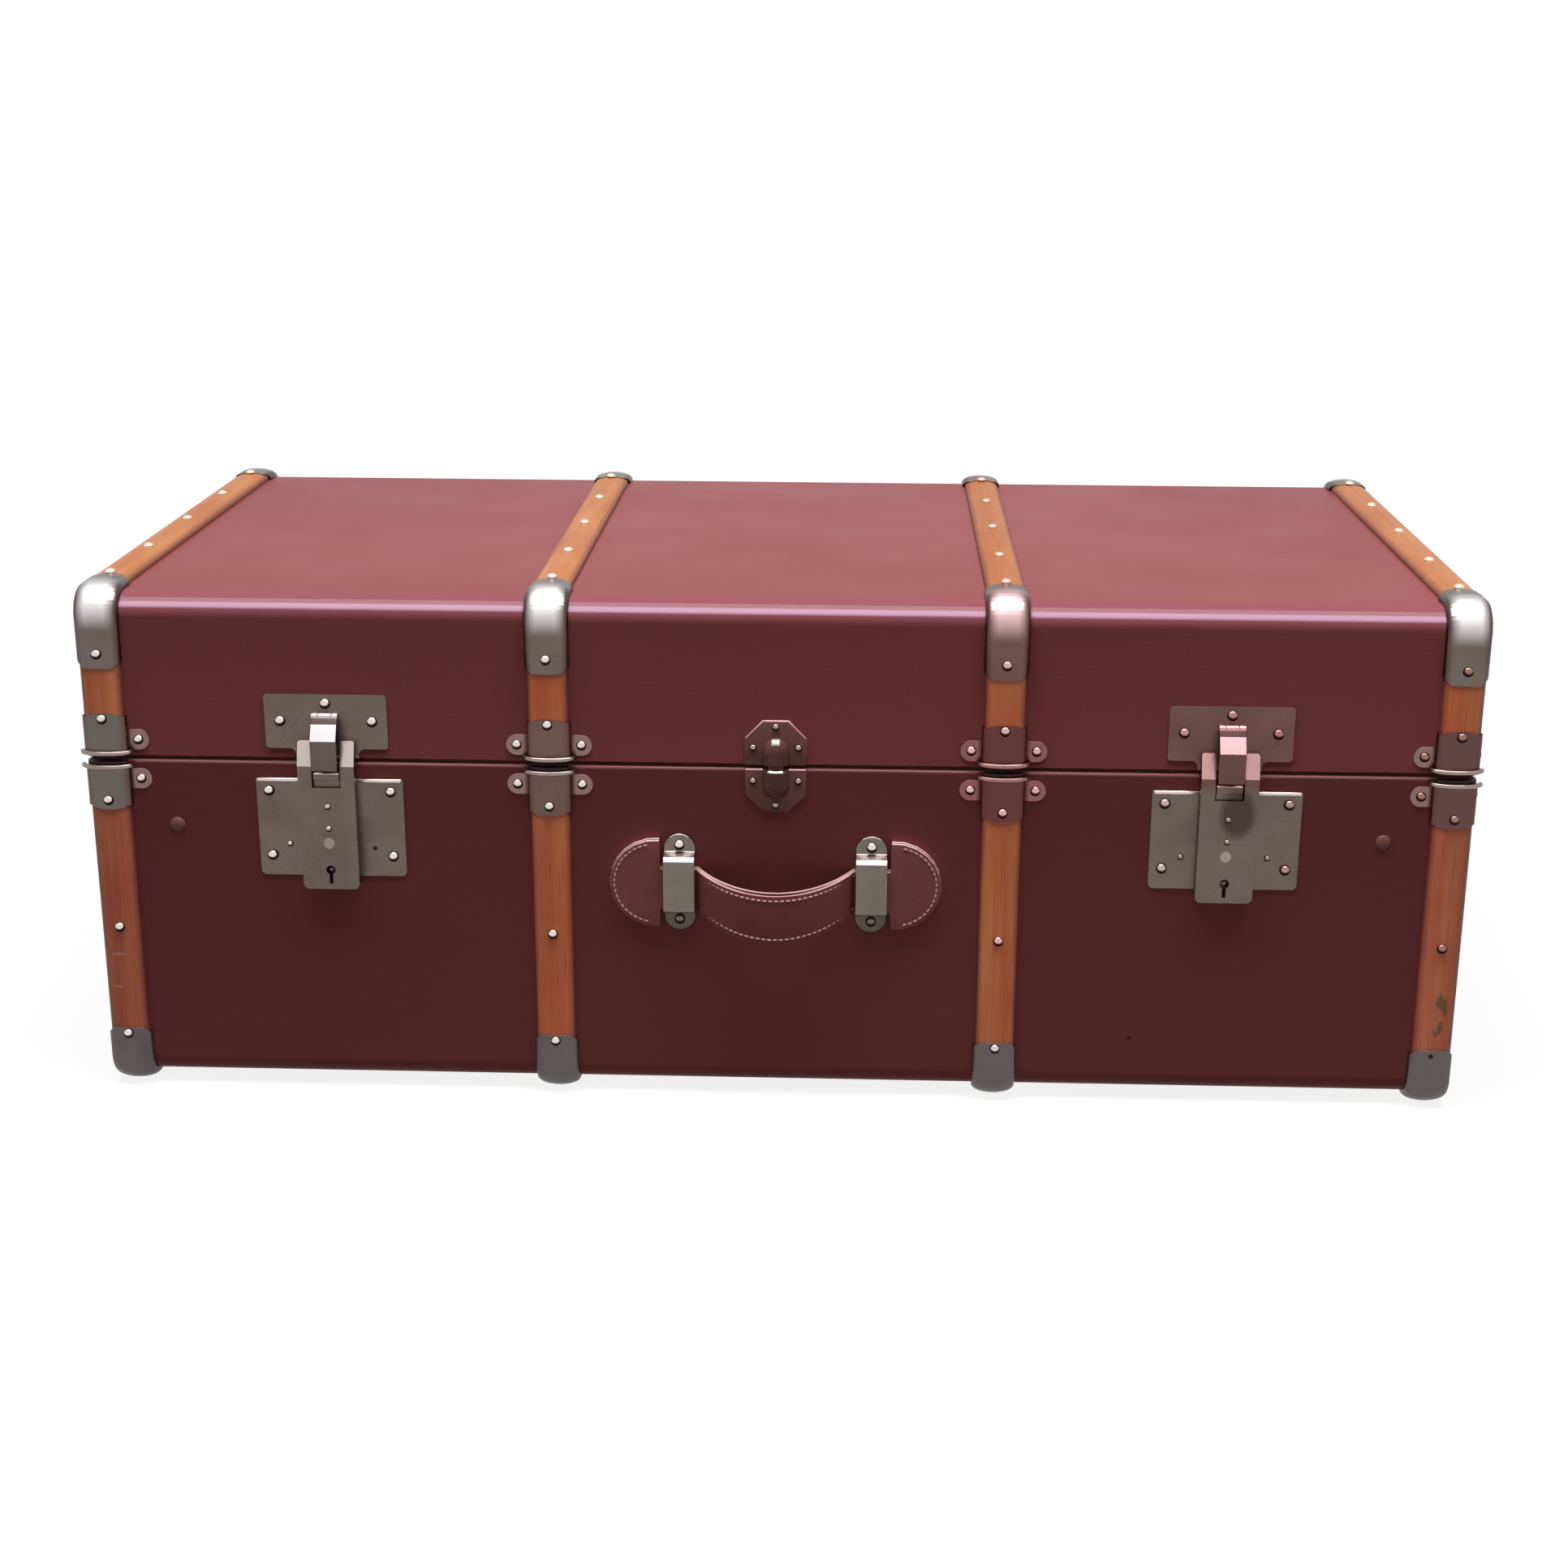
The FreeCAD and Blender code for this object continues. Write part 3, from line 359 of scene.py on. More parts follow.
def tones_by_place(finish, body, x, z):
    """Wood with the darker tones of the outer slats and of one top slat."""
    lower = finish.spread(z, seam_z, seam_z - 0.006)
    redder = finish.spread(x, -0.36, -0.38) * finish.spread(z, seam_z + 0.008, seam_z, 0.4, 1.0)
    redder = redder * finish.spread(z, top_z - 0.004, top_z - 0.010)
    browner = finish.spread(x, 0.36, 0.38) * lower
    crossing = finish.spread(z, top_z - 0.004, top_z - 0.002)
    dimmer = finish.spread(x, 0.08, 0.10) * finish.spread(x, 0.32, 0.30) * crossing
    for share, tone in ((redder, redder_wood), (browner, browner_wood), (dimmer, dimmer_wood)):
        body = finish.mixed(share, body, tone, "MULTIPLY")
    return body


print(len(dent_places), "dents and", len(smear_places), "smears on the outer slats")

# %% Slat wood
def slat_wood(name, grain, pale, deep, shaded, shine):
    """Oiled wood with its grain along an axis, in three tones."""
    finish = Finish(name)
    x, y, z = finish.axes()
    flank = finish.spread(from_slat(x), 0.0092, 0.0124)
    stretch = [38.0, 38.0, 38.0]
    stretch[grain] = 1.4
    streak = finish.noise(3.0, 4.0, tuple(stretch), 0.55)
    pore = finish.noise(22.0, 3.0, tuple(stretch), 0.7)
    tone = finish.noise(9.0, 3.0)
    body = finish.mixed(finish.spread(streak, 0.36, 0.64), pale, deep)
    body = finish.mixed(finish.spread(tone, 0.4, 0.65, 0.0, 0.7), body, shaded)
    body = finish.mixed(finish.spread(pore, 0.56, 0.70, 0.0, 0.4), body, hue(146, 66, 36))
    wear = finish.noise(26.0, 6.0, (1.0, 1.0, 1.0), 0.75)
    body = finish.mixed(finish.spread(wear, 0.70, 0.76, 0.0, 0.5), body, hue(112, 60, 44))
    dents = finish.spot(dent_places[0], 0.006, 0.0011) + finish.spot(dent_places[1], 0.005, 0.0009)
    body = finish.mixed(dents * 0.75, body, hue(250, 196, 166))
    flake = finish.noise(220.0, 4.0, (1.0, 1.0, 0.5))
    smear = finish.spot(smear_places[0], 0.0055, 0.012) + finish.spot(smear_places[1], 0.0040, 0.008)
    smear = smear * finish.spread(flake, 0.42, 0.52)
    body = finish.mixed(smear * 0.8, body, hue(92, 96, 44))
    # Painted shade on the flanks of each slat.
    body = finish.mixed(flank * 0.75, body, hue(108, 56, 54))
    body = tones_by_place(finish, body, x, z)
    shadow = finish.spread(abs(z - seam_z), 0.0056, 0.0040)
    body = finish.mixed(shadow, body, hue(84, 58, 56))
    return finish.set(
        Base_Color=body,
        Roughness=finish.spread(streak, 0.2, 0.8, 0.34, 0.50),
        Specular_IOR_Level=shine,
        Normal=finish.bump(streak + pore * 0.6 - dents * 3.0, 0.25, 0.0004),
    )


# The upright rows get paler tones than the rows across, as painted light for the front, which the lamp
# lights less than the top.
upright_tones_with_painted_light = hue(255, 162, 100), hue(238, 124, 74), hue(214, 98, 60)
cross_tones = hue(192, 124, 74), hue(180, 110, 62), hue(168, 98, 54)
upright_wood = slat_wood("slat_wood_upright", 2, *upright_tones_with_painted_light, 0.35)
cross_wood = slat_wood("slat_wood_cross", 1, *cross_tones, 0.08)
print("wood for upright and cross slats:", len(upright_wood.node_tree.nodes), "nodes each")

# %% [markdown]
# ## Steel
#
# The fittings are pressed sheet steel, a warm grey that has gone dull and
# shines at its bends, where the caps' shine is a painted highlight. Broad
# clouds of tarnish vary colour and roughness together, so the duller spots are
# darker too. Other tints come in by place: a painted highlight on the crown of
# the caps' bends, a painted shade on the flanks of the clamps and caps, a paler
# tint on the ears, and a pink painted reflection of the paint on the steel
# right of the middle.

# %% Where a bend gets a painted highlight
bend_out = half_depth - 0.003
bend_z = top_z - 0.0035
bend_reach = 0.0222
bend_core = 0.006


def bend_highlight_mask(finish):
    """1 on the crown of the upper caps' bends, where a highlight is painted."""
    x, y, z = finish.axes()
    out = abs(y - middle_y) - bend_out
    up = z - bend_z
    away = out * out + up * up
    shine = finish.spread(away, bend_reach ** 2, bend_core ** 2)
    return shine * shine * finish.spread(from_slat(x), 0.0125, 0.006)


# The painted highlight lies this far from the middle on each side.
print("the caps' bends are rubbed at", round(bend_out, 4), "m from the middle")

# %% One maker for all the steels
def steel(name, tint, rough, tarnish, domed=False, hasp_shadow_spot=None, right_of=(0.06, 0.09), **tints):
    """Dull steel. Its other tints, each in its own place, are given by the place's name."""
    finish = Finish(name)
    cloud = finish.noise(34.0, 5.0, (1, 1, 1), 0.6)
    speck = finish.noise(420.0, 3.0)
    dull = finish.spread(cloud, 0.40, 0.72)
    spots = finish.spread(speck, 0.66, 0.74)
    colour = finish.mixed(dull * tarnish, tint, tuple(value * 0.62 for value in tint[:3]) + (1.0,))
    colour = finish.mixed(spots * 0.4, colour, hue(64, 50, 42))
    x, y, z = finish.axes()
    places = {
        "left": lambda: finish.spread(x, -0.30, -0.32),
        "fading": lambda: finish.spread(x, -0.34, -0.17, 0.0, 0.6),
        "right": lambda: finish.spread(x, *right_of),
        "flank": lambda: finish.spread(from_slat(x), 0.0095, 0.0138, 0.0, 0.75),
        "ear": lambda: finish.spread(from_slat(x), 0.0152, 0.0172),
        "rubbed": lambda: bend_highlight_mask(finish),
    }
    for place, share in places.items():
        if place in tints:
            colour = finish.mixed(share(), colour, tints[place])
    # A painted shadow below the right hasp, on the steel of its plate and case.
    if hasp_shadow_spot:
        colour = finish.mixed(finish.spot(hasp_shadow_spot, 0.0130, 0.019) * 0.75, colour, hue(60, 46, 44))
    # Domed heads get a painted shade on their lower side and round their foot.
    if domed:
        crown = finish.add("ShaderNodeAttribute", {"attribute_name": "crown"})["Fac"]
        colour = finish.mixed(finish.spread(crown, 0.96, 0.68), colour, hue(38, 26, 24))
    # A pink painted reflection of the paint on steel about 0.1 to 0.35 m right of the middle, left out
    # more than 12 mm below the seam right of 0.2 m.
    warm_reflection = finish.spread(x, 0.09, 0.12) * finish.spread(x, 0.37, 0.34) * finish.spread(z, 0.05, 0.08)
    plain = finish.spread(x, 0.19, 0.20) * finish.spread(z, seam_z - 0.006, seam_z - 0.012)
    colour = finish.mixed(warm_reflection * (1 - plain), colour, (1.0, 0.68, 0.70, 1.0), "MULTIPLY")
    brushed = finish.noise(160.0, 2.0, (1.0, 1.0, 12.0))
    return finish.set(
        Base_Color=colour,
        Metallic=1.0,
        Specular_Tint=hue(120, 104, 100) if domed else hue(255, 255, 255),
        Roughness=rough + dull * 0.14 + spots * 0.1,
        Normal=finish.bump(brushed + cloud * 2.0, 0.10, 0.0003),
    )


print("one maker for every steel of the trunk")

# %% Steels of the sheet fittings
plate_steel = steel("plate_steel", hue(108, 95, 89), 0.36, 0.35, hasp_shadow_spot=(0.2975, 0.2075))
leaf_steel = steel("leaf_steel", hue(101, 88, 84), 0.36, 0.35)
# A pale steel, as painted highlight on faces that look up: the slopes of the prongs, the button's ledge
# and the tops of the loops.
slope_steel = steel("slope_steel", hue(204, 188, 183), 0.30, 0.2)
# A paler steel, as painted highlight on the rolled knuckles, barrels and plate edges.
roll_steel = steel("roll_steel", hue(214, 194, 190), 0.26, 0.2)
# Clamps: a painted shade on their flanks; their other tints come by place.
clamp_steel = steel(
    "clamp_steel", hue(106, 83, 77), 0.32, 0.3, left=hue(104, 96, 90),
    right=hue(96, 70, 68), flank=hue(92, 58, 55), ear=hue(132, 104, 101),
)
# Caps: a painted shade on their flanks and a painted highlight on their bends.
cap_steel = steel(
    "cap_steel", hue(108, 97, 91), 0.30, 0.4, flank=hue(66, 46, 44), rubbed=hue(242, 238, 238)
)
foot_steel = steel("foot_steel", hue(96, 89, 88), 0.40, 0.5)
loop_steel = steel("loop_steel", hue(112, 106, 99), 0.26, 0.35)
# A darker steel, as painted shade on the lower feet of the loops.
dull_steel = steel("dull_steel", hue(80, 76, 69), 0.34, 0.35)
print("the sheet steels, from bright slopes to dull feet")

# %% Steels of heads, beads and edges
rivet_steel = steel(
    "rivet_steel", hue(226, 212, 206), 0.18, 0.1, domed=True, right=hue(150, 112, 103),
    right_of=(0.10, 0.38),
)
# A darker rivet steel, as painted shade on the rivets under the loops.
dull_rivet_steel = steel("dull_rivet_steel", hue(104, 98, 90), 0.24, 0.3, domed=True)
top_nail_steel = steel("top_nail_steel", hue(240, 222, 204), 0.24, 0.1)
nail_steel = steel("nail_steel", hue(206, 188, 182), 0.20, 0.1, domed=True, fading=hue(116, 90, 86))
bead_steel = steel("bead_steel", hue(150, 132, 126), 0.24, 0.25)
# Worn steel for the worn spots of the lock cases, and as a painted highlight on the crests of the catch's
# bosses.
worn_steel = steel("worn_steel", hue(150, 140, 133), 0.34, 0.5)
# Bright steel for the springs and pins, and as a painted highlight on the hasp's slant and the loops'
# upper faces.
bright_steel = steel("bright_steel", hue(252, 248, 250), 0.24, 0.1)
# A pale pink steel, as painted highlight on the upper edges of the catch.
edge_steel = steel("edge_steel", hue(186, 142, 146), 0.30, 0.2)
hole_steel = steel("hole_steel", hue(40, 30, 28), 0.5, 0.2)
print("the steels of heads, beads and edges")

# %% [markdown]
# ## Painted steel and leather
#
# The catch is painted with the trunk, and its paint has rubbed through to a
# darker brown. The leather is the same burgundy with a fine pebble grain, a
# little darker on the grip than on the lobes, and its cut edges are paler.

# %% Painted steel
def painted_steel(name, full, thin):
    """Paint on steel, with a full tone and the tone where it has worn thin."""
    finish = Finish(name)
    cloud = finish.noise(60.0, 5.0)
    rubbed = finish.spread(cloud, 0.45, 0.65)
    return finish.set(
        Base_Color=finish.mixed(rubbed * 0.7, full, thin),
        Roughness=0.24 + rubbed * 0.12,
        Specular_IOR_Level=0.12,
        Normal=finish.bump(cloud, 0.15, 0.0003),
    )


catch_paint = painted_steel("catch_paint", hue(134, 86, 82), hue(112, 74, 70))
boss_paint = painted_steel("boss_paint", hue(106, 68, 63), hue(88, 58, 54))
print("paint of the catch and of its bosses")

# %% Leather
def leather(name, dark, light, rough):
    """Leather with a pebble grain, paler on the lobes and darker on the grip."""
    finish = Finish(name)
    cell = finish.add("ShaderNodeTexVoronoi", {}, {"Vector": finish.place, "Scale": 1100.0})["Distance"]
    crease = finish.noise(90.0, 5.0, (1, 1, 1), 0.65)
    tone = finish.noise(30.0, 3.0)
    colour = finish.mixed(finish.spread(tone, 0.3, 0.7), dark, light)
    x, y, z = finish.axes()
    lobes = finish.spread(abs(x), 0.050, 0.066) * finish.spread(abs(x), 0.13, 0.11)
    grip = finish.spread(abs(x), 0.060, 0.050)
    colour = finish.mixed(lobes, colour, (1.28, 1.50, 1.50, 1.0), "MULTIPLY")
    colour = finish.mixed(grip, colour, (0.85, 0.84, 0.86, 1.0), "MULTIPLY")
    return finish.set(
        Base_Color=colour,
        Roughness=finish.spread(crease, 0.3, 0.7, rough, rough + 0.16),
        Specular_IOR_Level=0.15,
        Normal=finish.bump(cell * 0.5 + crease, 0.35, 0.0004),
    )


handle_leather = leather("handle_leather", hue(124, 61, 61), hue(140, 71, 70), 0.38)
edge_leather = leather("edge_leather", hue(214, 166, 163), hue(236, 198, 194), 0.26)
print("leather for faces and for cut edges")

# %% [markdown]
# ## Thread, cloth and inner wood
#
# Thread, tape and lining are plain weaves, which two waves across each other
# give. The lining has a faded check, as trunk linings of printed cloth have.
# The tongue, rests and blocks inside are bare pale wood.

# %% Thread and cloth
def woven(name, tone, scale, rough, check=None):
    """A plain weave: two waves across each other, with uneven threads and perhaps a check."""
    finish = Finish(name)
    if check:
        thin = finish.spread(finish.band("X", 13.0), 0.90, 0.97)
        thin = thin + finish.spread(finish.band("Y", 13.0), 0.90, 0.97)
        broad = finish.spread(finish.band("X", 4.3), 0.55, 0.65)
        broad = broad + finish.spread(finish.band("Y", 4.3), 0.55, 0.65)
        tone = finish.mixed(broad * 0.16, tone, check)
        tone = finish.mixed(thin * 0.5, tone, check)
    uneven = finish.noise(140.0, 3.0)
    weave = finish.band("X", scale, 0.6) * 0.5 + finish.band("DIAGONAL", scale, 0.6) * 0.5
    shaded = finish.mixed(0.4, tone, hue(30, 24, 20))
    colour = finish.mixed(weave * 0.6 + uneven * 0.4, shaded, tone)
    return finish.set(
        Base_Color=colour,
        Roughness=rough,
        Specular_IOR_Level=0.2,
        Sheen_Weight=0.2,
        Normal=finish.bump(weave + uneven * 0.5, 0.5, 0.0003),
    )


thread = woven("thread", hue(232, 180, 168), 900.0, 0.6)
lining_cloth = woven("lining_cloth", hue(172, 150, 122), 420.0, 0.85, check=hue(112, 62, 50))
stay_tape = woven("stay_tape", hue(168, 148, 120), 700.0, 0.8)
print("thread, lining and tape")

# %% Plain wood
def plain_wood():
    """Bare wood with its streaks along the trunk."""
    finish = Finish("plain_wood")
    streak = finish.noise(10.0, 5.0, (1.5, 20.0, 20.0), 0.6)
    return finish.set(
        Base_Color=finish.mixed(finish.spread(streak, 0.3, 0.7), hue(196, 160, 116), hue(158, 120, 80)),
        Roughness=0.62,
        Specular_IOR_Level=0.3,
        Normal=finish.bump(streak, 0.3, 0.0004),
    )


inner_wood = plain_wood()
print("inner wood:", len(inner_wood.node_tree.nodes), "nodes")

# %% [markdown]
# ## Picking parts of a piece
#
# Every new piece starts as a primitive and is shaped in edit mode. Operators
# act on all that is selected, so each step first clears the selection and
# then picks its faces, edges or points by where they are.

# %% Selecting
def only(piece):
    """Selects one piece alone and makes it the active one."""
    if bpy.context.mode != "OBJECT":
        bpy.ops.object.mode_set(mode="OBJECT")
    bpy.ops.object.select_all(action="DESELECT")
    piece.select_set(True)
    bpy.context.view_layer.objects.active = piece


def middle(part):
    """The middle of a point, edge or face."""
    corners = [part.co] if hasattr(part, "co") else [corner.co for corner in part.verts]
    return sum(corners, Vector()) / len(corners)


def lies(part, slack=0.0001, **place):
    """Whether the middle of a part lies at the given x, y or z."""
    at = middle(part)
    return all(abs(getattr(at, axis) - value) < slack for axis, value in place.items())


def near(*corners):
    """A test for points at corners given as x and z."""
    return lambda part: any(lies(part, 0.0002, x=x, z=z) for x, z in corners)


def runs(edge, axis):
    """Whether an edge runs along an axis."""
    return abs((edge.verts[1].co - edge.verts[0].co).normalized()[axis]) > 0.999


def everything(part):
    """A test that every part passes."""
    return True


def choose(piece, kind, wanted):
    """Opens a piece for editing, with only the wanted parts selected."""
    only(piece)
    bpy.ops.object.mode_set(mode="EDIT")
    bpy.ops.mesh.select_mode(type=kind)
    bpy.ops.mesh.select_all(action="DESELECT")
    shape = bmesh.from_edit_mesh(piece.data)
    parts = {"VERT": shape.verts, "EDGE": shape.edges, "FACE": shape.faces}[kind]
    for part in parts:
        if wanted(part):
            part.select_set(True)
    shape.select_flush_mode()
    bmesh.update_edit_mesh(piece.data)


def close():
    """Leaves edit mode."""
    bpy.ops.object.mode_set(mode="OBJECT")


print("parts are picked by kind and by place")

# %% [markdown]
# ## Starting a piece
#
# A primitive is added with nothing else selected, at its size and place, and
# that place goes into its mesh at once, so that every object stays at the
# origin.

# %% Primitives
def named(piece, name):
    """Names a piece and its mesh."""
    piece.name = name
    piece.data.name = name
    return piece


def start(name, primitive, scale=(1, 1, 1), **settings):
    """Adds a primitive alone and puts its place and size into its mesh."""
    bpy.ops.object.select_all(action="DESELECT")
    primitive(**settings)
    bpy.context.object.scale = scale
    bpy.ops.object.transform_apply(location=True, rotation=True, scale=True)
    return named(bpy.context.object, name)


def start_box(name, low, high):
    """A box between two corners."""
    low = Vector(low)
    high = Vector(high)
    return start(name, bpy.ops.mesh.primitive_cube_add, high - low, size=1, location=(low + high) / 2)


def start_rod(name, centre, radius, length, axis, sides=32):
    """A cylinder with its middle at a centre, along an axis."""
    turn = {0: (0, math.pi / 2, 0), 1: (math.pi / 2, 0, 0), 2: (0, 0, 0)}[axis]
    return start(
        name, bpy.ops.mesh.primitive_cylinder_add,
        vertices=sides, radius=radius, depth=length, location=centre, rotation=turn,
    )


def start_sheet(name, x_low, x_high, z_low, z_high):
    """An upright flat sheet on the plane of the shell."""
    centre = ((x_low + x_high) / 2, 0, (z_low + z_high) / 2)
    return start(
        name, bpy.ops.mesh.primitive_plane_add, (x_high - x_low, z_high - z_low, 1),
        size=1, location=centre, rotation=(math.pi / 2, 0, 0),
    )


print("boxes, rods and sheets can start")

# %% [markdown]
# ## Shaping a piece
#
# Each of these opens the piece, picks, runs one or two edit operators and
# closes it again: moving, drawing out, cutting, rounding. Modifiers give a
# sheet its thickness and an edge its softness, and are applied at once.

# %% Moving and drawing out
def change(piece, kind, wanted, operator, **settings):
    """Runs one edit operator on the wanted parts of a piece."""
    choose(piece, kind, wanted)
    operator(**settings)
    close()


def shift(piece, way, wanted=everything):
    """Moves a piece, or some of its points."""
    change(piece, "VERT", wanted, bpy.ops.transform.translate, value=way)


def draw_out(piece, wanted, way, kind="EDGE"):
    """Extrudes the wanted edges or faces along a way."""
    extrude = bpy.ops.mesh.extrude_region_move
    change(piece, kind, wanted, extrude, TRANSFORM_OT_translate={"value": way})


def open_up(piece, wanted):
    """Takes faces away."""
    change(piece, "FACE", wanted, bpy.ops.mesh.delete, type="FACE")


print("parts can be moved, drawn out and opened")

# %% Rounding and cutting
def bevel(piece, wanted, width, segments):
    """Rounds the wanted edges."""
    change(piece, "EDGE", wanted, bpy.ops.mesh.bevel, offset=width, segments=segments, affect="EDGES")


def round_corners(piece, wanted, radius, segments=6):
    """Rounds the wanted corner points of a sheet."""
    change(piece, "VERT", wanted, bpy.ops.mesh.bevel, offset=radius, segments=segments, affect="VERTICES")


def split(piece, point, normal):
    """Divides a piece by a plane and keeps both sides."""
    change(piece, "FACE", everything, bpy.ops.mesh.bisect, plane_co=point, plane_no=normal)


def cut_off(piece, point, normal, fill=True):
    """Cuts away what lies beyond a plane, and closes the cut or leaves it open."""
    plane = Vector(normal).normalized()
    change(
        piece, "FACE", everything, bpy.ops.mesh.bisect,
        plane_co=point, plane_no=plane, clear_outer=True, use_fill=fill,
    )


def keep_half(piece, sizes, normal, way, fill=True):
    """Stretches a round primitive, keeps its half behind a plane, and moves that."""
    choose(piece, "VERT", everything)
    bpy.ops.transform.resize(value=sizes)
    bpy.ops.mesh.bisect(plane_co=(0, 0, 0), plane_no=normal, clear_outer=True, use_fill=fill)
    bpy.ops.mesh.select_all(action="SELECT")
    bpy.ops.transform.translate(value=way)
    close()


print("parts can be rounded and cut")

# %% Modifiers and smoothing
def drop(piece):
    """Takes a piece out of the scene."""
    bpy.data.objects.remove(piece)


def modify(piece, kind, **settings):
    """Adds a modifier and applies it."""
    only(piece)
    modifier = piece.modifiers.new(kind.title(), kind)
    for key, value in settings.items():
        setattr(modifier, key, value)
    bpy.ops.object.modifier_apply(modifier=modifier.name)


def smooth(piece, angle=35):
    """Shades the gentle edges smooth."""
    only(piece)
    bpy.ops.object.shade_smooth_by_angle(angle=math.radians(angle))


def tidy(piece, angle=35):
    """Merges doubles, turns the faces outwards and smooths the gentle edges."""
    choose(piece, "VERT", everything)
    bpy.ops.mesh.remove_doubles(threshold=0.000005)
    bpy.ops.mesh.normals_make_consistent(inside=False)
    close()
    smooth(piece, angle)


def soften(piece, width, segments=3, angle=40, smoothed=40):
    """Rounds the sharp edges of a piece."""
    limit = {"limit_method": "ANGLE", "angle_limit": math.radians(angle)}
    modify(piece, "BEVEL", width=width, segments=segments, **limit)
    smooth(piece, smoothed)


def thicken(piece, thickness, rim, segments=2):
    """Gives a sheet its thickness, outwards, and a soft rim."""
    modify(piece, "SOLIDIFY", thickness=thickness, offset=1)
    soften(piece, rim, segments, 50, 50)


def carve(piece, *tools):
    """Takes the shapes of tools out of a piece."""
    for tool in tools:
        modify(piece, "BOOLEAN", operation="DIFFERENCE", object=tool, solver="EXACT")
        drop(tool)


print("modifiers are applied as they are added")

# %% [markdown]
# ## Copies, finishes and bodies
#
# What repeats is modelled once on a plane at the origin, as a pattern, and
# copied to its places with a mesh of its own. A finished piece rides on the
# body that carries it, and the nodes of the frame that it stands for are
# hidden.

# %% Copies
def copy_of(piece, name, place):
    """A copy with a mesh of its own, moved by a matrix."""
    twin = piece.copy()
    twin.data = piece.data.copy()
    named(twin, name)
    bpy.context.scene.collection.objects.link(twin)
    twin.data.transform(place)
    if place.determinant() < 0:
        twin.data.flip_normals()
    return twin


def joined(pieces, name):
    """One piece from several."""
    only(pieces[0])
    for piece in pieces:
        piece.select_set(True)
    if len(pieces) > 1:
        bpy.ops.object.join()
    return named(pieces[0], name)


def set_out(pattern, name, places):
    """Copies of a pattern at its places, joined; the pattern itself goes."""
    row = [copy_of(pattern, name, place) for place in places]
    drop(pattern)
    return joined(row, name)


print("patterns can be set out")

# %% Finishes and bodies
def dress(piece, material, *others):
    """Gives a piece its finish, and others to the faces that pass their tests."""
    piece.data.materials.clear()
    piece.data.materials.append(material)
    for index, (other, wanted) in enumerate(others, 1):
        piece.data.materials.append(other)
        for face in piece.data.polygons:
            if wanted(face):
                face.material_index = index
    return piece


def fit(piece, body, slot, *replaced):
    """Sets a piece on its body and hides the nodes that it stands for; the slot is not used."""
    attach(piece, body)
    if replaced:
        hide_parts(*replaced)
    return piece


print("pieces can be dressed and set on their bodies")

# %% Planes that fittings are made for
def move(x=0.0, y=0.0, z=0.0):
    """A matrix that moves along the axes."""
    return Matrix.Translation((x, y, z))


front = move(y=front_y)
back = move(y=back_y) @ Matrix.Rotation(math.pi, 4, "Z")
on_top = move(y=middle_y, z=top_z) @ Matrix.Rotation(-math.pi / 2, 4, "X")
below = move(y=middle_y, z=foot_z) @ Matrix.Rotation(math.pi / 2, 4, "X")
end_sides = {
    side: move(x=side * half_length, y=middle_y) @ Matrix.Rotation(side * math.pi / 2, 4, "Z")
    for side in (-1, 1)
}
print("front, back, top, underside and both ends")

# %% [markdown]
# ## The two shells
#
# Each half is a box. Its two long edges are rounded with a bevel, its open
# side is a deleted face, and Solidify gives it the wall. A last small bevel
# takes the sharpness off the rim, which then shows as a fine bright line; on
# the base a painted highlight in the paint adds to it.

# %% Shells
rim_round = 0.0015


def shell(node, low, high, round_z, open_z, body):
    """Half of the box, rounded at one level and open at the other."""
    piece = start_box(node + "_painted", low, high)
    bevel(piece, lambda e: runs(e, 0) and lies(e, sheet, z=round_z), edge_radius, 12)
    open_up(piece, lambda f: lies(f, sheet, z=open_z))
    modify(piece, "SOLIDIFY", thickness=wall, offset=-1, use_even_offset=True)
    bevel(piece, lambda e: lies(e, sheet, z=open_z), rim_round, 3)
    smooth(piece, 40)
    dress(piece, paint)
    return fit(piece, body, "ply", node)


base_shell = shell("base_shell", base_low, base_high, foot_z, rim_z, "base")
lid_shell = shell("lid_shell", lid_low, lid_high, top_z, lid_z, "lid")
print("shells:", len(base_shell.data.polygons), "and", len(lid_shell.data.polygons), "faces")

# %% [markdown]
# ## Slats
#
# A slat is a half-round batten. It starts as a cylinder, is flattened to an
# oval and cut through its middle, and the flat side is drawn out to the shell.
# The same section, a sheet's thickness larger, is the start of caps and clamps.

# %% One batten
slat_foot = 0.0016
slat_play = 0.0008
slat_end = 0.0016


def batten(name, skin, low, high, play=0.0):
    """A half-round bar, upright on the plane of the shell, crown to the front."""
    half = slat_half + skin - play
    rise = slat_height + skin - slat_foot
    piece = start_rod(name, (0, 0, (low + high) / 2), 1, high - low, 2, 36)
    keep_half(piece, (half, rise, 1), (0, 1, 0), (0, -slat_foot, 0))
    draw_out(piece, lambda f: f.normal.y > 0.9, (0, slat_foot, 0), "FACE")
    tidy(piece)
    return piece


print("a batten is", 2 * slat_half, "wide and", slat_height, "high")

# %% Six rows of slats
slat_edge_round = 0.0006


def slat_row(node, low, high, plane, material):
    """Four slats on one side, with the edges of their ends eased."""
    name = node + "_wood"
    pattern = batten(name, 0, low, high, slat_play)
    bevel(pattern, lambda e: not runs(e, 2) and middle(e).y < -slat_foot, slat_edge_round, 2)
    smooth(pattern)
    dress(pattern, material)
    row = set_out(pattern, name, [plane @ move(x=x) for x in slat_places])
    fit(row, node.split("_")[0], "slat_wood", node)


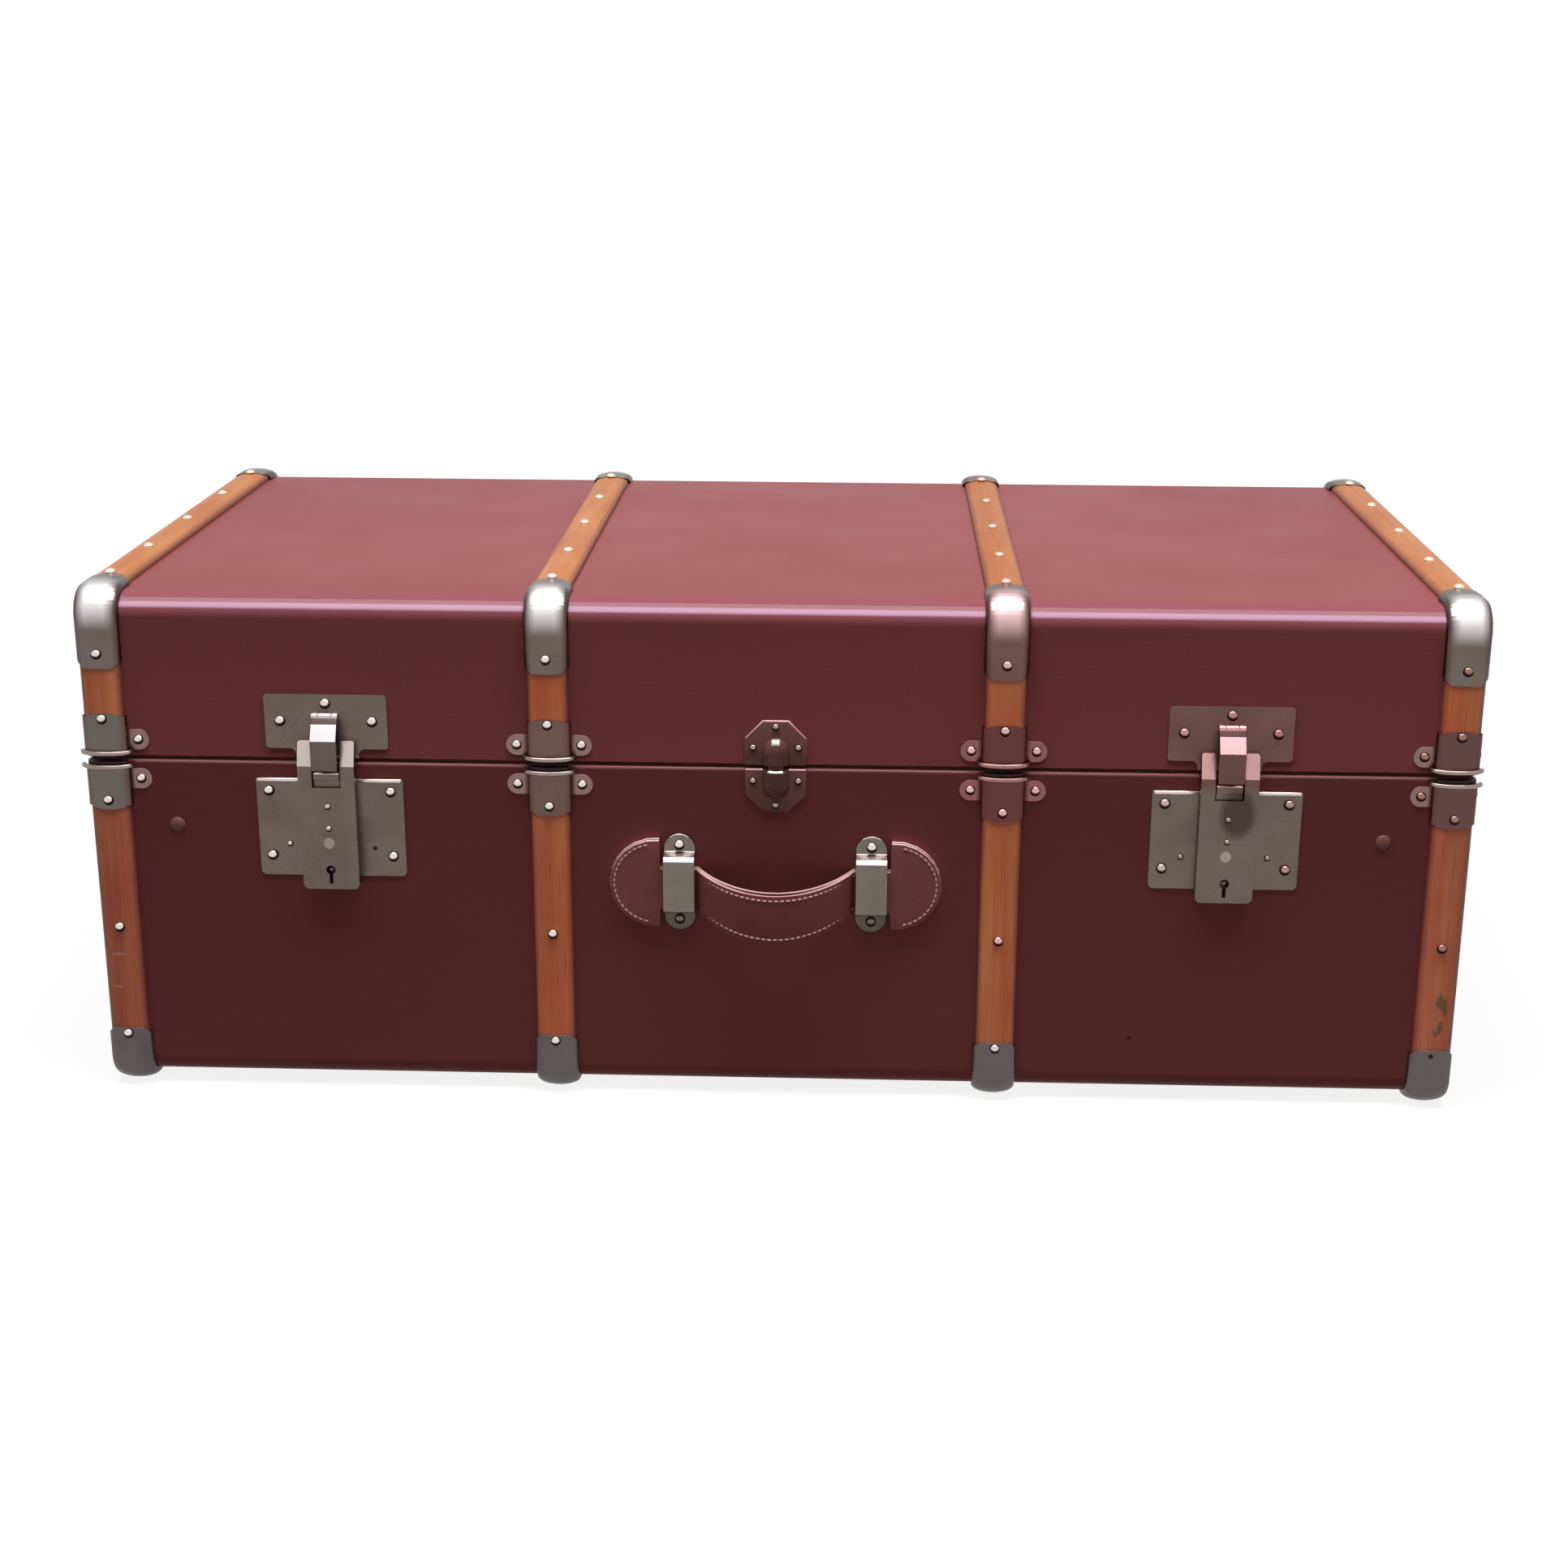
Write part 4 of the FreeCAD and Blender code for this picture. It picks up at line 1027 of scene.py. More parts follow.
run = half_depth - edge_radius
slat_row("lid_top_slats", -run, run, on_top, cross_wood)
slat_row("base_bottom_slats", -run, run, below, cross_wood)
for side, plane in (("front", front), ("back", back)):
    slat_row("base_" + side + "_slats", foot_z + edge_radius, seam_z - slat_end, plane, upright_wood)
    slat_row("lid_" + side + "_slats", seam_z + slat_end, top_z - edge_radius, plane, upright_wood)
print("six rows of four slats")

# %% [markdown]
# ## Corner caps
#
# A cap is a strip of sheet pressed over the slats where they meet at a
# corner. The bar of the section is bent round the corner with Spin, drawn on
# along the top, opened at its ends and its inner side, cut across at its four
# tips, and then given the thickness of the sheet.

# %% A bar bent round the corner
def bent_bar(name, drop_length, return_length):
    """A solid bar round an upper corner whose faces meet at the origin."""
    centre = Vector((0, edge_radius, -edge_radius))
    piece = batten(name, sheet, -drop_length, -edge_radius)
    choose(piece, "FACE", lambda f: f.normal.z > 0.9)
    bpy.ops.mesh.spin(steps=10, angle=math.pi / 2, center=centre, axis=(1, 0, 0), use_auto_merge=False)
    bpy.ops.mesh.extrude_region_move(
        TRANSFORM_OT_translate={"value": (0, return_length - edge_radius, 0)}
    )
    close()
    return piece


def is_open_side(face, drop_length, return_length):
    """Whether a face of the bent bar lies against the shell or closes an end."""
    at = middle(face)
    if abs(face.normal.x) > 0.9:
        return False
    if at.z < -edge_radius - sheet:
        return at.y > -sheet / 2 or abs(at.z + drop_length) < sheet / 2
    if at.y > edge_radius + sheet:
        return at.z < sheet / 2 or abs(at.y - return_length) < sheet / 2
    away = Vector((at.y - edge_radius, at.z + edge_radius)).length
    return away < edge_radius + sheet / 2


print("the bar bends on a radius of", edge_radius)

# %% One cap
cap_clip = 0.0045
cap_edge_round = 0.00025


def cap(name, drop_length, return_length, material):
    """A pressed cap with clipped tips, for an upper corner at the origin."""
    piece = bent_bar(name, drop_length, return_length)
    open_up(piece, lambda f: is_open_side(f, drop_length, return_length))
    tip_x = slat_half + sheet - cap_clip
    for side in (-1, 1):
        cut_off(piece, (side * tip_x, 0, -drop_length), (side, 0, -1), False)
        cut_off(piece, (side * tip_x, return_length, 0), (side, 1, 0), False)
    tidy(piece)
    modify(piece, "SOLIDIFY", thickness=sheet, offset=-1)
    soften(piece, cap_edge_round, 2, 60, 50)
    return dress(piece, material)


cap_drop = top_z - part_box("lid_front_caps")[0].z
cap_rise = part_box("base_front_caps")[1].z - foot_z
cap_return = 0.040 - slat_height - sheet
top_cap = cap("top_cap", cap_drop, cap_return, cap_steel)
bottom_cap = cap("bottom_cap", cap_rise, cap_return, foot_steel)
print("caps reach", round(cap_drop, 4), "down and", round(cap_rise, 4), "up")

# %% Sixteen caps
to_rear = move(y=2 * middle_y) @ Matrix.Scale(-1, 4, (0, 1, 0))
top_corner = move(y=front_y, z=top_z)
bottom_corner = move(y=front_y, z=foot_z) @ Matrix.Scale(-1, 4, (0, 0, 1))
for pattern, body, corner in ((top_cap, "lid", top_corner), (bottom_cap, "base", bottom_corner)):
    for label, turn in (("front", Matrix()), ("back", to_rear)):
        node = body + "_" + label + "_caps"
        row = [copy_of(pattern, node + "_sheet", turn @ corner @ move(x=x)) for x in slat_places]
        fit(joined(row, node + "_sheet"), body, "steel", node)
    drop(pattern)
print("sixteen caps")

# %% [markdown]
# ## Rivets
#
# A rivet head is a shallow dome. It starts as a sphere, is flattened and cut
# through its middle, and a short rim under it makes it sit on its plate. An
# attribute tells how near each point is to the lit top of the dome, so that
# the steel can carry a painted shade below it. One head is made for each size,
# and copied.

# %% Domed heads
def dome(name, radius, height):
    """A domed head on the plane of the shell, at the origin."""
    rim = height * 0.2
    piece = start(
        name, bpy.ops.mesh.primitive_uv_sphere_add,
        segments=20, ring_count=10, radius=1, rotation=(math.pi / 2, 0, 0),
    )
    keep_half(piece, (radius, height - rim, radius), (0, 1, 0), (0, -rim, 0))
    draw_out(piece, lambda f: f.normal.y > 0.9, (0, rim, 0), "FACE")
    tidy(piece, 50)
    # The crown is high at the upper top of the dome and low at its foot and lower side, where the steel
    # gets its painted shade.
    crown = piece.data.attributes.new("crown", "FLOAT", "POINT")
    for corner in piece.data.vertices:
        crown.data[corner.index].value = 0.8 * corner.co.z / radius - corner.co.y / height
    return piece


def studs(name, places, radius, height, material, side=front):
    """Domed heads at places on a side, each given as x, distance out and z."""
    pattern = dress(dome(name, radius, height), material)
    return set_out(pattern, name, [side @ move(x, -out, z) for x, out, z in places])


trial = dome("trial", 0.003, 0.002)
print("a head has", len(trial.data.polygons), "faces")
drop(trial)

# %% [markdown]
# ## Clamps
#
# A clamp is a sheet saddle over the end of a slat. Its edge at the seam is
# flared and rolled into a round bead, its far edge is curved, and two round
# ears hold it on the shell. The end slats fold one ear round the corner.

# %% Clamp sizes
clamp_gap = 0.003
clamp_curve = 0.0022
lip_flare = 0.0030
lip_push = 0.0012
bead_radius = 0.0016
lip_z = clamp_gap + bead_radius
lip_reach = lip_flare - bead_radius
skin_half = slat_half + sheet
skin_height = slat_height + sheet
ear_radius = 0.007
ear_offset = 0.021
ear_fold = 0.014
ear_rises = {"lid": 0.0125, "base": 0.014}
clamp_reaches = {
    "lid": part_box("lid_front_clamps")[1].z - seam_z,
    "base": seam_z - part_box("base_front_clamps")[0].z,
}
print("clamps reach", [round(reach, 4) for reach in clamp_reaches.values()], "from the seam")

# %% Saddle
def is_on_skin(point):
    """Whether a point lies on the skin over the slat, within the flare."""
    lift = max(-point.y - slat_foot, 0)
    return (point.x / skin_half) ** 2 + (lift / (skin_height - slat_foot)) ** 2 < 1.05


def saddle(reach):
    """The skin of a clamp above the plane Z 0, with a flared edge at the seam."""
    piece = batten("saddle", sheet, lip_z, reach)
    open_up(piece, lambda f: f.normal.y > 0.9 or abs(f.normal.z) > 0.9)
    wide = (skin_half + lip_reach) / skin_half
    high = (skin_height + lip_reach) / skin_height
    choose(piece, "EDGE", lambda e: lies(e, z=lip_z))
    bpy.ops.mesh.extrude_region_move(TRANSFORM_OT_translate={"value": (0, 0, -0.0001)})
    bpy.ops.transform.translate(value=(0, 0, 0.0001))
    bpy.ops.transform.resize(value=(wide, high, 1), center_override=(0, 0, lip_z))
    close()
    shift(piece, (0, 0, lip_push), lambda v: lies(v, z=lip_z) and is_on_skin(v.co))
    side_x = skin_half * 0.72
    shoulder_x = skin_half * 0.4
    far = (0, 0, -clamp_curve)
    nearer = (0, 0, -clamp_curve * 0.35)
    shift(piece, far, lambda v: lies(v, z=reach) and abs(v.co.x) > side_x)
    shift(piece, nearer, lambda v: lies(v, z=reach) and shoulder_x < abs(v.co.x) < side_x)
    modify(piece, "SOLIDIFY", thickness=sheet, offset=-1)
    smooth(piece, 50)
    return piece


print("a saddle is", round(2 * skin_half, 4), "wide and flares by", round(lip_reach, 4))

# %% Bead and ears
def rolled_bead():
    """The rolled edge of a clamp: a tube bent over the slat."""
    piece = start("bead", bpy.ops.mesh.primitive_circle_add, vertices=48, radius=1)
    sizes = (skin_half + lip_reach, skin_height + lip_reach - bead_radius, 1)
    keep_half(piece, sizes, (0, 1, 0), (0, -bead_radius, lip_z), False)
    only(piece)
    bpy.ops.object.convert(target="CURVE")
    piece.data.bevel_depth = bead_radius
    piece.data.bevel_resolution = 3
    piece.data.use_fill_caps = True
    bpy.ops.object.convert(target="MESH")
    tidy(piece, 60)
    return piece


def ear(side, height):
    """A round ear on the shell, with its straight side against the slat."""
    inner = side * (slat_half - 0.001)
    outer = side * (ear_offset + ear_radius)
    low, high = height - ear_radius, height + ear_radius
    piece = start_sheet("ear", *sorted((inner, outer)), low, high)
    round_corners(piece, near((outer, low), (outer, high)), ear_radius * 0.995, 10)
    thicken(piece, sheet * 1.1, 0.0003)
    return piece


def folded_ear(side, height):
    """An ear that lies on the end of the trunk, round the corner from the slat."""
    turned = Matrix.Rotation(math.pi / 2, 4, "Z")
    if side < 0:
        turned = turned @ Matrix.Scale(-1, 4, (0, 1, 0))
    reach = move(x=side * slat_half, y=ear_fold - ear_radius - ear_offset)
    return set_out(ear(1, height), "ear", [reach @ turned])


print("ears stand", ear_offset, "beside the slat's middle")

# %% Sixteen clamps
def clamp(reach, ear_height, folded):
    """A whole clamp on the plane Z 0, for a slat at X 0, with an ear folded on one side."""
    parts = [saddle(reach)]
    for side in (-1, 1):
        parts.append(folded_ear(side, ear_height) if side == folded else ear(side, ear_height))
    piece = dress(joined(parts, "clamp"), clamp_steel)
    return joined([piece, dress(rolled_bead(), bead_steel)], "clamp")


for body, direction in (("lid", 1), ("base", -1)):
    patterns = {fold: clamp(clamp_reaches[body], ear_rises[body], fold) for fold in (-1, 0, 1)}
    flip = Matrix.Scale(direction, 4, (0, 0, 1))
    for label, plane, way in (("front", front, 1), ("back", back, -1)):
        node = body + "_" + label + "_clamps"
        row = []
        for x in slat_places:
            fold = round(way * x / outer_slat_x)
            place = plane @ move(x=way * x, z=seam_z) @ flip
            row.append(copy_of(patterns[fold], node + "_sheet", place))
        fit(joined(row, node + "_sheet"), body, "steel", node)
    for pattern in patterns.values():
        drop(pattern)
print("sixteen clamps, from three patterns for each half")

# %% [markdown]
# ## Nails and small rivets
#
# Each cap and clamp has its rivet, each slat its nails. They are thin trim
# that the frame leaves out, so they are placed from the slats themselves.
# The right front foot has lost its rivet, and a dark hole is left there.

# %% Nails of the front and the back
nail_radius = 0.0033
nail_height = 0.0025
cap_rivet_z = top_z - 0.0378
foot_rivet_z = foot_z + 0.0325
slat_nail_z = foot_z + 0.109
clamp_rivet_rise = 0.0275
ear_levels = {"lid": seam_z + ear_rises["lid"], "base": seam_z - ear_rises["base"]}


def nails(name, places, side, height=nail_height, material=rivet_steel):
    """Nail heads on a side, for the body that their name starts with."""
    fit(studs(name, places, nail_radius, height, material, side), name.split("_")[0], "steel_bright")


for label, side in (("front", front), ("back", back)):
    lid_places = []
    base_places = []
    for x in slat_places:
        lid_places += [(x, skin_height, z) for z in (cap_rivet_z, seam_z + clamp_rivet_rise)]
        base_places.append((x, skin_height, seam_z - clamp_rivet_rise))
        base_places.append((x, slat_height, slat_nail_z))
        if label == "back" or x < slat_places[-1]:
            base_places.append((x, skin_height, foot_rivet_z))
        for ear_x in (x - ear_offset, x + ear_offset):
            if abs(ear_x) < half_length:
                lid_places.append((ear_x, sheet, ear_levels["lid"]))
                base_places.append((ear_x, sheet, ear_levels["base"]))
    nails("lid_" + label + "_nails", lid_places, side)
    nails("base_" + label + "_nails", base_places, side)
lost_place = [(slat_places[-1] - 0.001, skin_height, foot_rivet_z)]
fit(studs("lost_nail", lost_place, 0.0016, 0.0002, hole_steel), "base", "steel")
print(len(lid_places), "heads on each side of the lid,", len(base_places), "on the back of the base")

# %% Nails on top, below and at the ends
flat_places = []
for x in slat_places:
    flat_places += [(x, slat_height, y) for y in (-0.097, 0.0, 0.097)]
    flat_places += [(x, skin_height, y) for y in (-0.183, 0.183)]
nails("lid_top_nails", flat_places, on_top, material=top_nail_steel)
nails("base_bottom_nails", flat_places, below, height=0.0006)

fold_y = half_depth - ear_fold + ear_radius
for side, label in ((-1, "left"), (1, "right")):
    for body, level in ear_levels.items():
        folded_places = [(y, sheet, level) for y in (-fold_y, fold_y)]
        nails(body + "_ear_nails_" + label, folded_places, end_sides[side])
print(len(flat_places), "nails on top, and as many below")

# %% [markdown]
# ## Hasp locks
#
# Each lock has a T-shaped plate on the lid that carries the hasp, and a plate
# on the base with a raised case. The case is a fork above, so that the hasp
# drops into it, and a release button fills the gap below the hasp. Every part
# is made once, for a lock at X 0, and copied to both locks at the end.

# %% Plate thickness and boxes on the front
plate_out = 0.0012


def front_box(name, half, out_low, out_high, z_low, z_high):
    """A box on the front, as wide to each side, given by its distances out from the shell."""
    return start_box(name, (-half, -out_high, z_low), (half, -out_low, z_high))


def block(name, *sizes, ease=0.0005, segments=2):
    """A plain steel block on the front, with its edges eased."""
    piece = front_box(name, *sizes)
    soften(piece, ease, segments)
    return dress(piece, plate_steel)


print("plates are", plate_out, "thick")

# %% [markdown]
# ### The T-shaped plate
#
# It is stamped from sheet: a stem with a wing on each side, hollow where they
# meet. The wings are edges of the stem that are drawn out. In the middle it
# is rolled into a knuckle, which a short rod stands for.

# %% T-shaped plate with its knuckle
wing_half = 0.040
wing_top = seam_z + 0.0445
wing_low = seam_z + 0.008
wing_round = 0.0024
stem_half = 0.0205
stem_low = seam_z + 0.002
stem_hollow = 0.004
hasp_axis_z = seam_z + 0.0305
hasp_axis_out = 0.0038
knuckle_radius = 0.0026
mid_knuckle_half = 0.0042
knuckle_gap = 0.0003

hasp_plate = start_sheet("hasp_plate", -stem_half, stem_half, stem_low, wing_top)
split(hasp_plate, (0, 0, wing_low), (0, 0, 1))
for side in (-1, 1):
    draw_out(
        hasp_plate,
        lambda e: middle(e).x * side > stem_half - sheet and middle(e).z > wing_low + sheet,
        (side * (wing_half - stem_half), 0, 0),
    )
corners = [(side * wing_half, z) for side in (-1, 1) for z in (wing_low, wing_top)]
round_corners(hasp_plate, near(*corners), wing_round)
round_corners(hasp_plate, near((-stem_half, wing_low), (stem_half, wing_low)), stem_hollow)
thicken(hasp_plate, plate_out, 0.0007, 3)
hasp_axis = (0, -hasp_axis_out, hasp_axis_z)
knuckle = start_rod("knuckle", hasp_axis, knuckle_radius, 2 * mid_knuckle_half, 0, 24)
soften(knuckle, 0.0003, 2)
hasp_plate = joined([dress(hasp_plate, plate_steel), dress(knuckle, roll_steel)], "hasp_plate")
print("the T-plate is", 2 * wing_half, "wide, its knuckle", 2 * mid_knuckle_half)

# %% [markdown]
# ### The hasp
#
# The hasp hangs from the plate's knuckle by two of its own. Its leaf is flat
# below and leans back above, where the lower part of the slant has a painted
# highlight, and it carries a staple behind its tip. The barrel is one rod with
# its middle carved away, and the staple is a small block with a hole.

# %% Hasp
hasp_half = 0.0085
hasp_out = 0.014
hasp_sheet = 0.002
hasp_bend = seam_z + 0.0165
hasp_tip = seam_z - 0.0013
leaf_tip = seam_z - 0.0036
facet_top = hasp_axis_z - 0.0040


def is_highlight_facet(face):
    """Whether a face is the lower part of the slanted leaf, which gets a painted highlight."""
    return face.normal.y < -0.8 and 0.3 < face.normal.z < 0.6 and face.center.z < facet_top


leaf_back = hasp_out - hasp_sheet
leaf = front_box("hasp", hasp_half, leaf_back, hasp_out, leaf_tip, hasp_bend)
lean = (0, hasp_out - hasp_axis_out - knuckle_radius, hasp_axis_z - hasp_bend)
draw_out(leaf, lambda f: f.normal.z > 0.9, lean, "FACE")
soften(leaf, 0.0005)
split(leaf, (0, 0, facet_top), (0, 0, 1))
barrel = start_rod("barrel", hasp_axis, knuckle_radius, 2 * hasp_half, 0, 24)
gap = mid_knuckle_half + knuckle_gap
clear = 2 * knuckle_radius
hollow_sizes = (gap, -sheet, hasp_axis_out + clear, hasp_axis_z - clear, hasp_axis_z + clear)
carve(barrel, front_box("hollow", *hollow_sizes))
soften(barrel, 0.0003, 2)
staple_out = hasp_out - hasp_sheet / 2
staple = front_box("staple", 0.0045, 0.0015, staple_out, hasp_tip, hasp_tip + 0.0028)
carve(staple, front_box("hole", 0.0028, 0.0024, 0.0044, hasp_tip - 0.001, hasp_tip + 0.004))
soften(staple, 0.0003, 2)
dress(leaf, leaf_steel, (bright_steel, is_highlight_facet))
hasp = joined([leaf, dress(barrel, roll_steel), dress(staple, plate_steel)], "hasp")
print("the hasp hangs from", round(hasp_axis_z, 4), "to", round(leaf_tip, 4))

# %% [markdown]
# ### The lock plate
#
# This is a plain plate on the base. Its upper edge is rolled on both sides of
# the case, which a thin rod gives, and its key pin stands in the keyhole.

# %% Lock plate with its rolled edge
lock_half = 0.0485
lock_top = seam_z - 0.012
lock_low = seam_z - 0.0795
case_half = 0.0185
keyhole_z = seam_z - 0.0725

lock_plate = start_sheet("lock_plate", -lock_half, lock_half, lock_low, lock_top)
round_corners(lock_plate, near((-lock_half, lock_low), (lock_half, lock_low)), 0.0035)
round_corners(lock_plate, near((-lock_half, lock_top), (lock_half, lock_top)), 0.0016, 4)
thicken(lock_plate, plate_out, 0.0009, 3)
parts = [dress(lock_plate, plate_steel)]
roll_low = case_half + 0.0003
roll_high = lock_half - 0.0012
for side in (-1, 1):
    centre = (side * (roll_high + roll_low) / 2, -plate_out, lock_top - 0.0013)
    roll = start_rod("roll", centre, 0.0014, roll_high - roll_low, 0, 20)
    soften(roll, 0.0006, 2, 60)
    parts.append(dress(roll, roll_steel))
pin = start_rod("key_pin", (0, -0.0043, keyhole_z), 0.0012, 0.0084, 1, 16)
soften(pin, 0.0003, 2)
lock_plate = joined(parts + [dress(pin, plate_steel)], "lock_plate")
print("the lock plate is", 2 * lock_half, "by", round(lock_top - lock_low, 4))

# %% [markdown]
# ### The raised case
#
# The case is a hollow box with a slope on the front of its two prongs. It is
# one box: a bevel rounds its foot, a plane cuts the slope, and boxes and a
# rod carve out the fork, the works' room, the button's throat and the keyhole.

# %% Raised case with its fork and keyhole
case_out = 0.010
case_wall = 0.0015
case_low = seam_z - 0.0858
case_back = case_out - case_wall
case_reach = case_out + sheet
fork_half = 0.0093
fork_top = seam_z + 0.0145
fork_bend = seam_z - 0.0015
fork_tip_out = 0.005
fork_floor = seam_z - 0.016
throat_half = fork_half - 0.0005
works_half = case_half - case_wall
keyhole_radius = 0.0031
key_slot_half = 0.0012
key_slot_foot = keyhole_z - 0.0095

lock_case = front_box("lock_case", case_half, plate_out, case_out, case_low, fork_top)
slope = Vector((0, -(fork_top - fork_bend), case_out - fork_tip_out))
bevel(lock_case, lambda e: runs(e, 1) and middle(e).z < case_low + sheet, 0.0038, 5)
cut_off(lock_case, (0, -case_out, fork_bend), slope)
carve(
    lock_case,
    front_box("gap", fork_half, -sheet, case_reach, fork_floor, fork_top + sheet),
    front_box("works", works_half, -sheet, case_back, case_low + case_wall, fork_floor - 0.002),
)
bevel(lock_case, lambda e: runs(e, 1) and middle(e).z > fork_top - sheet, 0.0016, 3)
soften(lock_case, 0.0009)
carve(
    lock_case,
    front_box("throat", throat_half, -sheet, case_back, fork_floor - 0.004, fork_floor + sheet),
    start_rod("hole", (0, -case_reach / 2, keyhole_z), keyhole_radius, 2 * case_reach, 1),
    front_box("slot", key_slot_half, -sheet, case_reach, key_slot_foot, keyhole_z),
)
smooth(lock_case, 40)
# The slopes of the prongs look up and get the pale steel as a painted highlight.
dress(lock_case, plate_steel, (
    slope_steel, lambda f: f.center.z > fork_bend and f.normal.z > 0.15 and f.normal.y < 0.1
))
print("the case is", 2 * case_half, "wide and stands out", case_out)

# %% [markdown]
# ### The release button
#
# A thumb pushes it down to free the hasp. It is four blocks: a body, a ledge
# to push on, a nose under the staple, and a stem that stands on the spring.

# %% Release button
button_half = 0.0087
button_top = seam_z - 0.006
button_low = button_top - 0.0145
button_back = 0.0054
button_front = 0.0082
ledge_out = button_front + 0.0014
ledge_low = button_top - 0.0055

ledge = front_box("ledge", button_half, button_front - sheet, ledge_out, ledge_low, button_top)
soften(ledge, 0.0009)
# The ledge's upper faces get the pale steel as a painted highlight.
dress(ledge, plate_steel, (slope_steel, lambda f: f.normal.z > 0.2))
body_sizes = (button_half, button_back, button_front, button_low, button_top)
nose_sizes = (0.0025, button_back, button_back + 0.002, button_top - sheet, button_top + 0.004)
stem_sizes = (0.004, button_back, button_back + 0.0026, button_low - 0.022, button_low + sheet)
button = joined([
    block("button", *body_sizes, ease=0.0004, segments=3), ledge,
    block("nose", *nose_sizes), block("stem", *stem_sizes, ease=0.0003),
], "button")
print("the button is", 2 * button_half, "wide, at", button_back, "to", round(ledge_out, 4), "out")

# %% [markdown]
# ### The button springs
#
# Inside each case a flat strip, folded to and fro, lifts the button. The
# strip is a plane whose end edge is drawn out fold by fold.

# %% Button springs
spring_folds = 5
spring_sheet = 0.0004


def button_spring(label):
    """A flat strip, folded to and fro, that lifts its button."""
    node = "button_spring_" + label
    low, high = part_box(node)
    centre_y = (low.y + high.y) / 2
    tip_x, tip_z = low.x + spring_sheet, low.z + spring_sheet
    piece = start(
        node + "_folded", bpy.ops.mesh.primitive_plane_add,
        (0.0002, high.y - low.y - spring_sheet, 1), size=1, location=(tip_x - 0.0001, centre_y, tip_z),
    )
    turns = (high.x - spring_sheet, low.x + spring_sheet)
    rise = (high.z - low.z - 2 * spring_sheet) / spring_folds
    for fold in range(spring_folds):
        next_x = turns[fold % 2]
        at_tip = {"x": tip_x, "z": tip_z}
        draw_out(piece, lambda e: runs(e, 1) and lies(e, **at_tip), (next_x - tip_x, 0, rise))
        tip_x, tip_z = next_x, tip_z + rise
    modify(piece, "SOLIDIFY", thickness=spring_sheet, offset=0)
    soften(piece, 0.0001, 2, 40, 50)
    fit(dress(piece, bright_steel), "base", "steel", node)
    "release_button_" + label
    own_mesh(piece)
    return piece


for label in ("left", "right"):
    print(button_spring(label).name, "with", spring_folds, "folds")

# %% Both locks
for pattern, kind, carrier in (
    (hasp_plate, "hasp_plate_", "lid"), (hasp, "hasp_", None), (lock_plate, "lock_plate_", "base"),
    (lock_case, "lock_case_", "base"), (button, "release_button_", None),
):
    for label, x in (("left", -lock_x), ("right", lock_x)):
        node = kind + label
        fit(copy_of(pattern, node + "_pressed", front @ move(x=x)), carrier or node, "steel", node)
    drop(pattern)
print("two locks, at", round(lock_x, 4), "from the middle")

# %% [markdown]
# ## Centre catch
#
# The catch is pressed from sheet and painted. Each half is half an octagon
# with a domed boss, and the lower one has a tongue that stands in the upper.

# %% Catch halves
catch_half_width = 0.020
catch_clip = 0.0115
catch_sheet = 0.0020
catch_gap = 0.0011
boss_half = 0.0093
boss_out = 0.008
boss_round = 0.010
boss_cut = 0.0012


def boss(direction, reach):
    """A domed boss with a round far end, open towards the seam."""
    ball = bpy.ops.mesh.primitive_uv_sphere_add
    piece = start("boss", ball, segments=32, ring_count=20, radius=1)
    centre = seam_z + direction * (reach - boss_round)
    end_z = seam_z + direction * catch_gap
    keep_half(piece, (boss_half, boss_out, boss_round), (0, 0, -direction), (0, 0, centre))
    draw_out(piece, lambda f: f.normal.z * direction < -0.9, (0, 0, end_z - centre), "FACE")
    cut_off(piece, (0, 0, seam_z), (0, 1, 0))
    bevel(piece, lambda e: lies(e, 1e-5, z=end_z) and middle(e).y < -0.001, boss_cut, 1)
    tidy(piece, 40)
    return piece


def catch_half(direction, reach, raised):
    """Half of the catch, with its boss: above the seam or below it."""
    inner = seam_z + direction * catch_gap
    outer = seam_z + direction * reach
    piece = start_sheet("catch", -catch_half_width, catch_half_width, *sorted((inner, outer)))
    round_corners(piece, near((-catch_half_width, outer), (catch_half_width, outer)), catch_clip, 1)
    thicken(piece, catch_sheet, 0.0015, 4)
    # The upper edges of each half get the pale steel as a painted highlight.
    dress(piece, catch_paint, (edge_steel, lambda f: f.normal.z > 0.12 and f.normal.y < 0.1))
    # The crest of each boss gets the worn steel as a painted highlight.
    dress(raised, boss_paint, (
        worn_steel, lambda f: 0.48 < f.normal.z < 0.90 and abs(f.normal.x) < 0.30
    ))
    return joined([piece, raised], "catch")


print("a catch half is", 2 * catch_half_width, "wide")

# %% Both halves of the catch
upper_boss = boss(1, 0.0200)
carve(upper_boss, front_box("pocket", 0.0056, 0.0019, 0.0066, seam_z - 0.001, seam_z + 0.0091))
upper = catch_half(1, 0.0315, upper_boss)
lower = catch_half(-1, 0.0305, boss(-1, 0.0220))
tongue = front_box("tongue", 0.005, 0.0025, 0.006, seam_z - 0.008, seam_z + 0.0085)
soften(tongue, 0.0006)
lower = joined([lower, dress(tongue, catch_paint)], "catch")
for pattern, node, body in ((upper, "catch_upper", "lid"), (lower, "catch_lower", "base")):
    smooth(pattern, 40)
    fit(set_out(pattern, node + "_pressed", [front]), body, "painted_steel", node)
print("centre catch")

# %% [markdown]
# ### Rivets of locks and catch
#
# The plates have broad heads, the catch has small ones, and small pins hold
# the works of the locks. One pin of the left lock is lost, and each case is
# worn round at one spot. These are heads again, some of them nearly flat.

# %% Rivets of locks and catch
rivet_radius = 0.0035
rivet_height = 0.0026
catch_side = catch_half_width - 0.0053
worn_out = 0.00005


